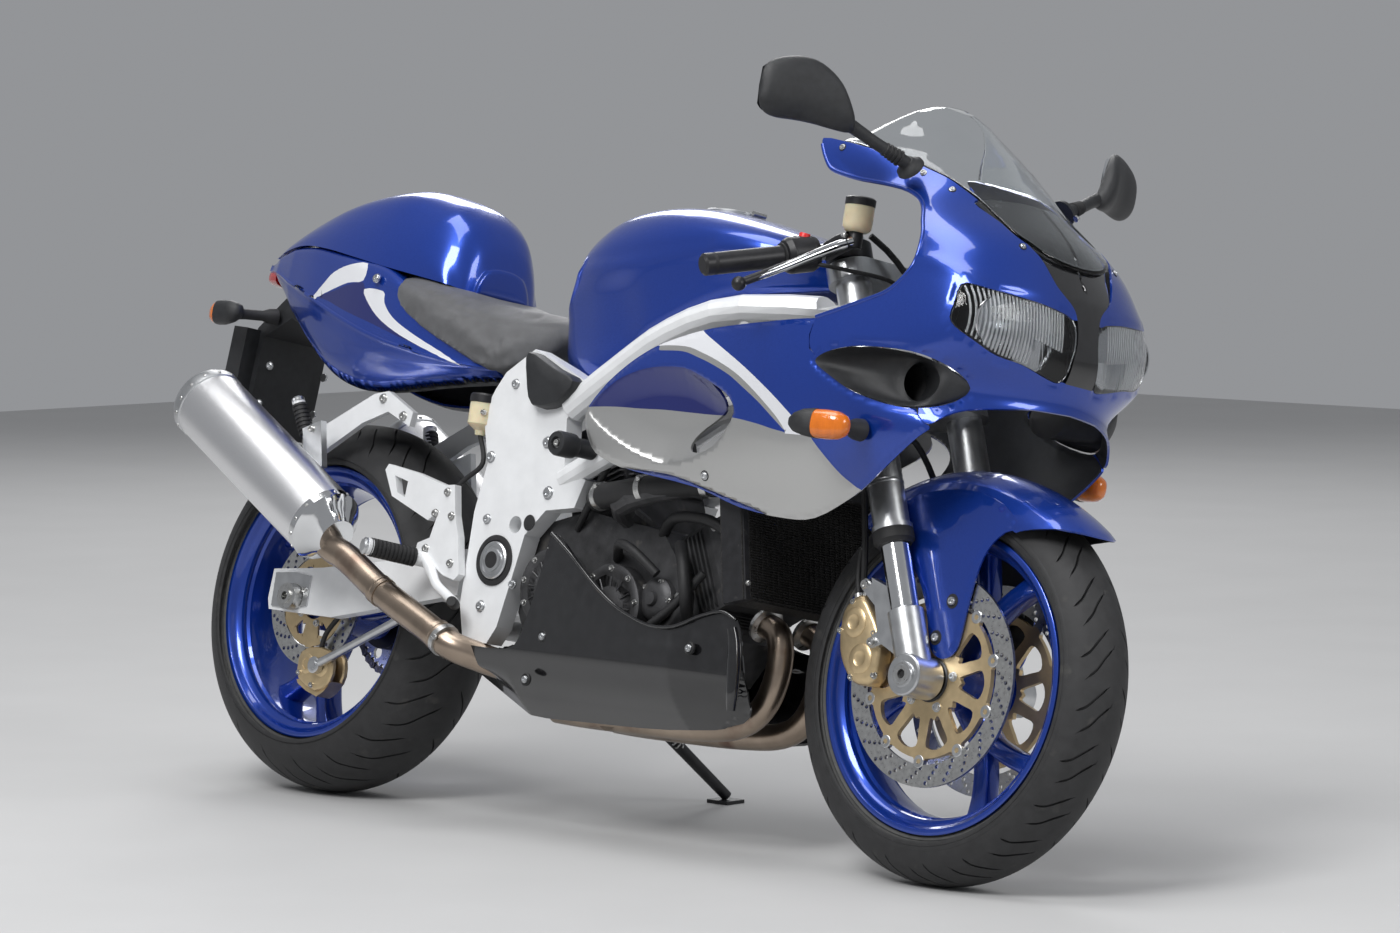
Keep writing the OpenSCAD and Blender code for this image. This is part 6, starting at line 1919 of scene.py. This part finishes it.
# ------------------------------------------------ screws and small pieces
def screws_and_plugs():
    k = Kit()

    def on_skin(x, z, r, name="sat", rel=0.0):
        y = skin_at(x, z)
        e = 2.0
        nx = -(skin_at(x + e, z) - skin_at(x - e, z)) / (2 * e)
        nz = -(skin_at(x, z + e) - skin_at(x, z - e)) / (2 * e)
        n = Vector((nx, -1, nz)).normalized()
        p = Vector((x, -y, z)) + n * rel
        k.spin(p - n * 2, p + n, [(0, 0), (r * 1.7, 0), (r * 1.6, 2.6), (r * 1.2, 3.0), (0, 3.0)], "soft",
               20, mirror=True)
        k.bolt(p + n * 0.6, n, r, name, r * 0.5, mirror=True)

    for x, z in ((450, 1078), (649, 1024), (782, 946)):
        on_skin(x, z, 3.8)
    on_skin(317, 560, 5.2, rel=1.5)
    # tail screw, belly pan screws, mudguard screws
    k.bolt((-604, -141, 853), (-0.05, -1, 0.25), 6.5, "sat", 3, mirror=True)
    for x, z in ((-36, 292), (290, 300), (-60, 222)):
        k.spin((x, -171, z), (x, -177, z), [(0, 0), (10, 0), (10, 4), (8.5, 5.6), (7, 4), (0, 4)], "soft",
               20, mirror=True)
        k.bolt((x, -176, z), (0, -1, 0), 5, "sat", 2.6, mirror=True)
    for x, z in ((-938, 706), (-952, 640)):
        k.bolt((x, -62, z), (0, -1, 0), 6, "sat", 3, mirror=True)
    # frame: pivot ring, engine bolts, bosses and cover plugs
    k.spin((-200, -150, 405), (-200, -160, 405),
           [(27, 0.5), (41, 0.5), (41, 2.2), (38, 3), (33, 3), (32, 1.2), (27, 1.2)], "soft", 48,
           mirror=True)
    k.spin((-200, -150, 405), (-200, -160, 405),
           [(14, 0), (30.5, 0), (30.5, 4), (28, 6), (24, 6), (23, 4.4), (19, 4.4), (18, 8), (14, 8.6)],
           "sat", 48, mirror=True)
    k.spin((-200, -150, 405), (-200, -160, 405), [(0, 8.8), (13.6, 8.8), (13.8, 8)], "soft", 24,
           mirror=True)
    for x, z, r in ((-100, 520, 9), (-216, 330, 8), (-232, 470, 7), (-246, 570, 8), (-120, 600, 8),
                    (-150, 370, 6), (-214, 690, 7)):
        k.bolt((x, -150, z), (0, -1, 0), r, "sat", 4, mirror=True)
    k.spin((-132, -149.6, 470), (-132, -152, 470), [(0, 0.6), (12, 0.6), (13, 1.8), (11, 2.4), (0, 2.4)],
           "soft", 28, mirror=True)
    # chain adjuster blocks on the swingarm
    for s in (-1, 1):
        yo = -128 if s == -1 else 140
        k.slab([(-752, 294), (-752, 350), (-700, 354), (-662, 350), (-662, 300), (-700, 292)],
               *sorted((yo, yo + s * 3.2)), "sat", holes=[circle(AXR, AZR, 24, 24)])
        k.bolt((-672, yo + s * 2, 326), (0, s, 0), 5, "steel", 3)
        k.spin((AXR, yo + s * 3, AZR), (AXR, yo + s * 12, AZR),
               [(22, 0), (22, 1.5), (20, 2.4), (15, 2.4)], "steel", 32)
    k.make("screws_and_plugs", "chassis", slot="steel", angle=35)


screws_and_plugs()


# seat-side frame covers, sitting flush where the CAD ones float
def frame_covers():
    k = Kit()
    pad = loop_of([(-176, 741), (-110, 717), (-60, 698), (-94, 662), (-150, 656), (-172, 700)], 3)
    cx, cz = -128, 698
    k.rings([[(cx + (x - cx) * f, y, cz + (z - cz) * f) for x, z in pad]
             for y, f in ((-150, 1.03), (-166, 1.0), (-170.5, 0.96), (-172, 0.88))], "plastic", mirror=True)
    k.make("frame_covers", "chassis", rep=("frame_pads",), slot="black_plastic", angle=40)


frame_covers()


def bobbins_detail():
    k = Kit()
    k.spin((5, -120, 590), (5, -250, 590),
           [(0, 0), (12, 0), (12, 48), (15, 50), (15, 88), (19.6, 94), (20, 100), (20, 124), (18, 128.5),
            (10, 129.6), (9, 124), (0, 124)], "plastic", 36, mirror=True)
    k.bolt((5, -244, 590), (0, -1, 0), 6, "steel", 4, mirror=True)
    k.make("bobbins_detail", "chassis", rep=("crash_bobbins",), slot="black_plastic", angle=35)


bobbins_detail()


# rests: rubber pads, master cylinder, reservoir, pedal
def rest_details():
    k = Kit()
    for s in (1, -1):
        a, b = Vector((-356, -170 * s, 394.6)), Vector((-390, -256 * s, 399.6))
        ribs = []
        for i in range(11):
            ribs += [(15.6, 10 + i * 7), (15.6, 14 + i * 7), (13.8, 14.6 + i * 7), (13.8, 16.4 + i * 7)]
        k.spin(a, b, [(12, 8)] + ribs + [(15.6, 87), (13, 88)], "soft", 20)
        k.spin(b - (b - a).normalized() * 3, b + (b - a).normalized() * 8,
               [(0, 0), (10, 0), (14, 3), (14, 8), (11, 11), (0, 11)], "sat", 24)
        k.nut((-352, -166 * s, 394), (0, -s, 0), 10, "sat", 6)
        for x, z in ((-318, 506), (-300, 468), (-286, 392), (-350, 412), (-340, 470)):
            k.bolt((x, -166 * s, z), (0, -s, 0), 6, "steel", 3.5)
        # pillion rest
        c, e = Vector((-712, -140 * s, 574)), Vector((-742, -151 * s, 640))
        rb = []
        for i in range(7):
            rb += [(13.2, 12 + i * 7), (13.2, 16 + i * 7), (11.6, 16.6 + i * 7), (11.6, 18.4 + i * 7)]
        k.spin(c, e, [(10, 10)] + rb + [(13, 62), (11, 66)], "soft", 18)
        k.spin(e - (e - c).normalized() * 2, e + (e - c).normalized() * 6,
               [(0, 0), (10.6, 0), (11, 4), (8, 7), (0, 7)], "sat", 18)
        k.nut((-712, -142 * s, 572), (0, -s, 0), 9, "steel", 5)
        for x, z in ((-500, 628), (-556, 655)):
            k.bolt((x, -126 * s, z), (0, -s, 0), 7, "steel", 4)
    k.spin((-338, -150, 440), (-332, -150, 500),
           [(0, 0), (9, 0), (12, 6), (12, 44), (9, 50), (9, 60), (0, 60)], "sat", 24)
    k.spin((-290, -142, 604), (-290, -142, 664),
           [(0, 0), (8, 0), (10, 8), (19, 14), (23, 18), (23, 52), (20, 54)], "cream", 34)
    k.spin((-290, -142, 656), (-290, -142, 676), [(22, 0), (24.6, 1), (24.6, 12), (22, 15), (0, 15)],
           "black", 34)
    k.tube([(-290, -142, 606), (-268, -146, 560), (-300, -150, 530), (-330, -152, 502)], 4, "soft", 10, 6)
    k.bolt((-272, -158, 640), (0, -1, 0), 4, "steel", 3)
    k.tube([(-350, -168, 400), (-325, -171, 380), (-300, -176, 356), (-268, -181, 341),
            (-236, -186, 328)], 8, "white", 14, 6)
    k.spin((-246, -178, 326), (-226, -206, 330), [(0, 0), (8, 0), (9, 3), (9, 28), (7, 31), (0, 31)],
           "soft", 18)
    k.make("rest_details", "chassis", slot="black_metal", angle=35)


rest_details()


# ------------------------------------------------------ stand and springs
def stand_spring():
    k = Kit()
    a, b = Vector((-150, 160, 228)), Vector((-142, 268, 160))
    coil = []
    n = 150
    dv = (b - a)
    u = dv.cross(Vector((0, 0, 1))).normalized()
    w = dv.cross(u).normalized()
    for i in range(n + 1):
        t = i / n
        ang = t * 15 * math.tau
        coil.append(tuple(a + dv * t + (u * math.cos(ang) + w * math.sin(ang)) * 6.0))
    k.tube(coil, 1.5, "steel", 6, 1)
    k.make("stand_spring", "side_stand", slot="steel")


stand_spring()


def shock_spring():
    k = Kit()
    a, b = Vector((-288, 0, 452)), Vector((-257, 0, 628))
    dv = b - a
    u, w = Vector((0, 1, 0)), dv.cross(Vector((0, 1, 0))).normalized()
    coil = [tuple(a + dv * (i / 160) + (u * math.cos(i / 160 * 8 * math.tau) + w
                                        * math.sin(i / 160 * 8 * math.tau)) * 27.0) for i in range(161)]
    k.tube(coil, 5.5, "stripe", 10, 1)
    k.spin(a - dv * 0.12, b, [(0, 0), (13, 0), (13, 20), (17, 22), (17, 190), (0, 196)], "sat", 28)
    k.make("shock_spring", "chassis", rep=("rear_shock",), slot="steel")


shock_spring()

# -------------------------------------------------- the CAD pieces we keep
KEEP = {"frame": ("white", 2.0), "subframe": ("white", 1.2), "swingarm": ("white", 2.5),
        "engine": ("cast", 3.0), "radiator": ("core", 1.0), "rear_mudguard": ("plastic", 2.0),
        "instrument_panel": ("plastic", 3.0), "yokes": ("sat", 2.5), "fork_leg_right": ("sat", 1.5),
        "fork_leg_left": ("sat", 1.5), "handlebar_right": ("black", 0), "handlebar_left": ("black", 0),
        "brake_hoses": ("soft", 0), "front_axle": ("steel", 0.6), "footrest_right": ("white", 1.5),
        "footrest_left": ("white", 1.5), "passenger_footrests": ("white", 2.0),
        "rear_axle": ("steel", 0.6), "side_stand": ("black", 1.0)}
for n, (m, bev) in KEEP.items():
    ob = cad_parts[n]
    ob.data.materials.clear()
    ob.data.materials.append(M[m])
    if bev:
        md = ob.modifiers.new("bevel", "BEVEL")
        md.width, md.segments, md.angle_limit = bev / 1000, 2, math.radians(40)
        md.harden_normals = True


# ----------------------------------------------------------------- stage
fm = bpy.data.meshes.new("floor")
fm.from_pydata([(-9, -9, 0), (9, -9, 0), (9, 9, 0), (-9, 9, 0)], [], [(0, 1, 2, 3)])
floor = bpy.data.objects.new("floor", fm)
bpy.context.scene.collection.objects.link(floor)
fm.materials.append(mat("floor_pale", (0.5, 0.5, 0.5), 0.85, var=0.02, vs=3, bump=0.05, bs=300))
world = bpy.data.worlds.new("world")
bpy.context.scene.world = world
world.use_nodes = True
nt = world.node_tree
bg = nt.nodes["Background"]
bg.inputs[0].default_value = (0.86, 0.88, 0.92, 1)
bg.inputs[1].default_value = 0.34
for name, loc, size, power in (("key", (1.2, -5.0, 5.6), 2.6, 330), ("side", (6.5, 1.0, 3.4), 2.2, 110),
                               ("rear", (-5.0, 4.5, 4.5), 3.0, 140), ("over", (-0.3, -1.0, 5.5), 3.0, 130)):
    ld = bpy.data.lights.new(name, "AREA")
    ld.energy, ld.size = power, size
    lo = bpy.data.objects.new(name, ld)
    lo.location = loc
    lo.rotation_euler = (Vector((0, 0, 0.5)) - lo.location).to_track_quat("-Z", "Y").to_euler()
    bpy.context.scene.collection.objects.link(lo)
bpy.context.scene.view_settings.view_transform = "Standard"
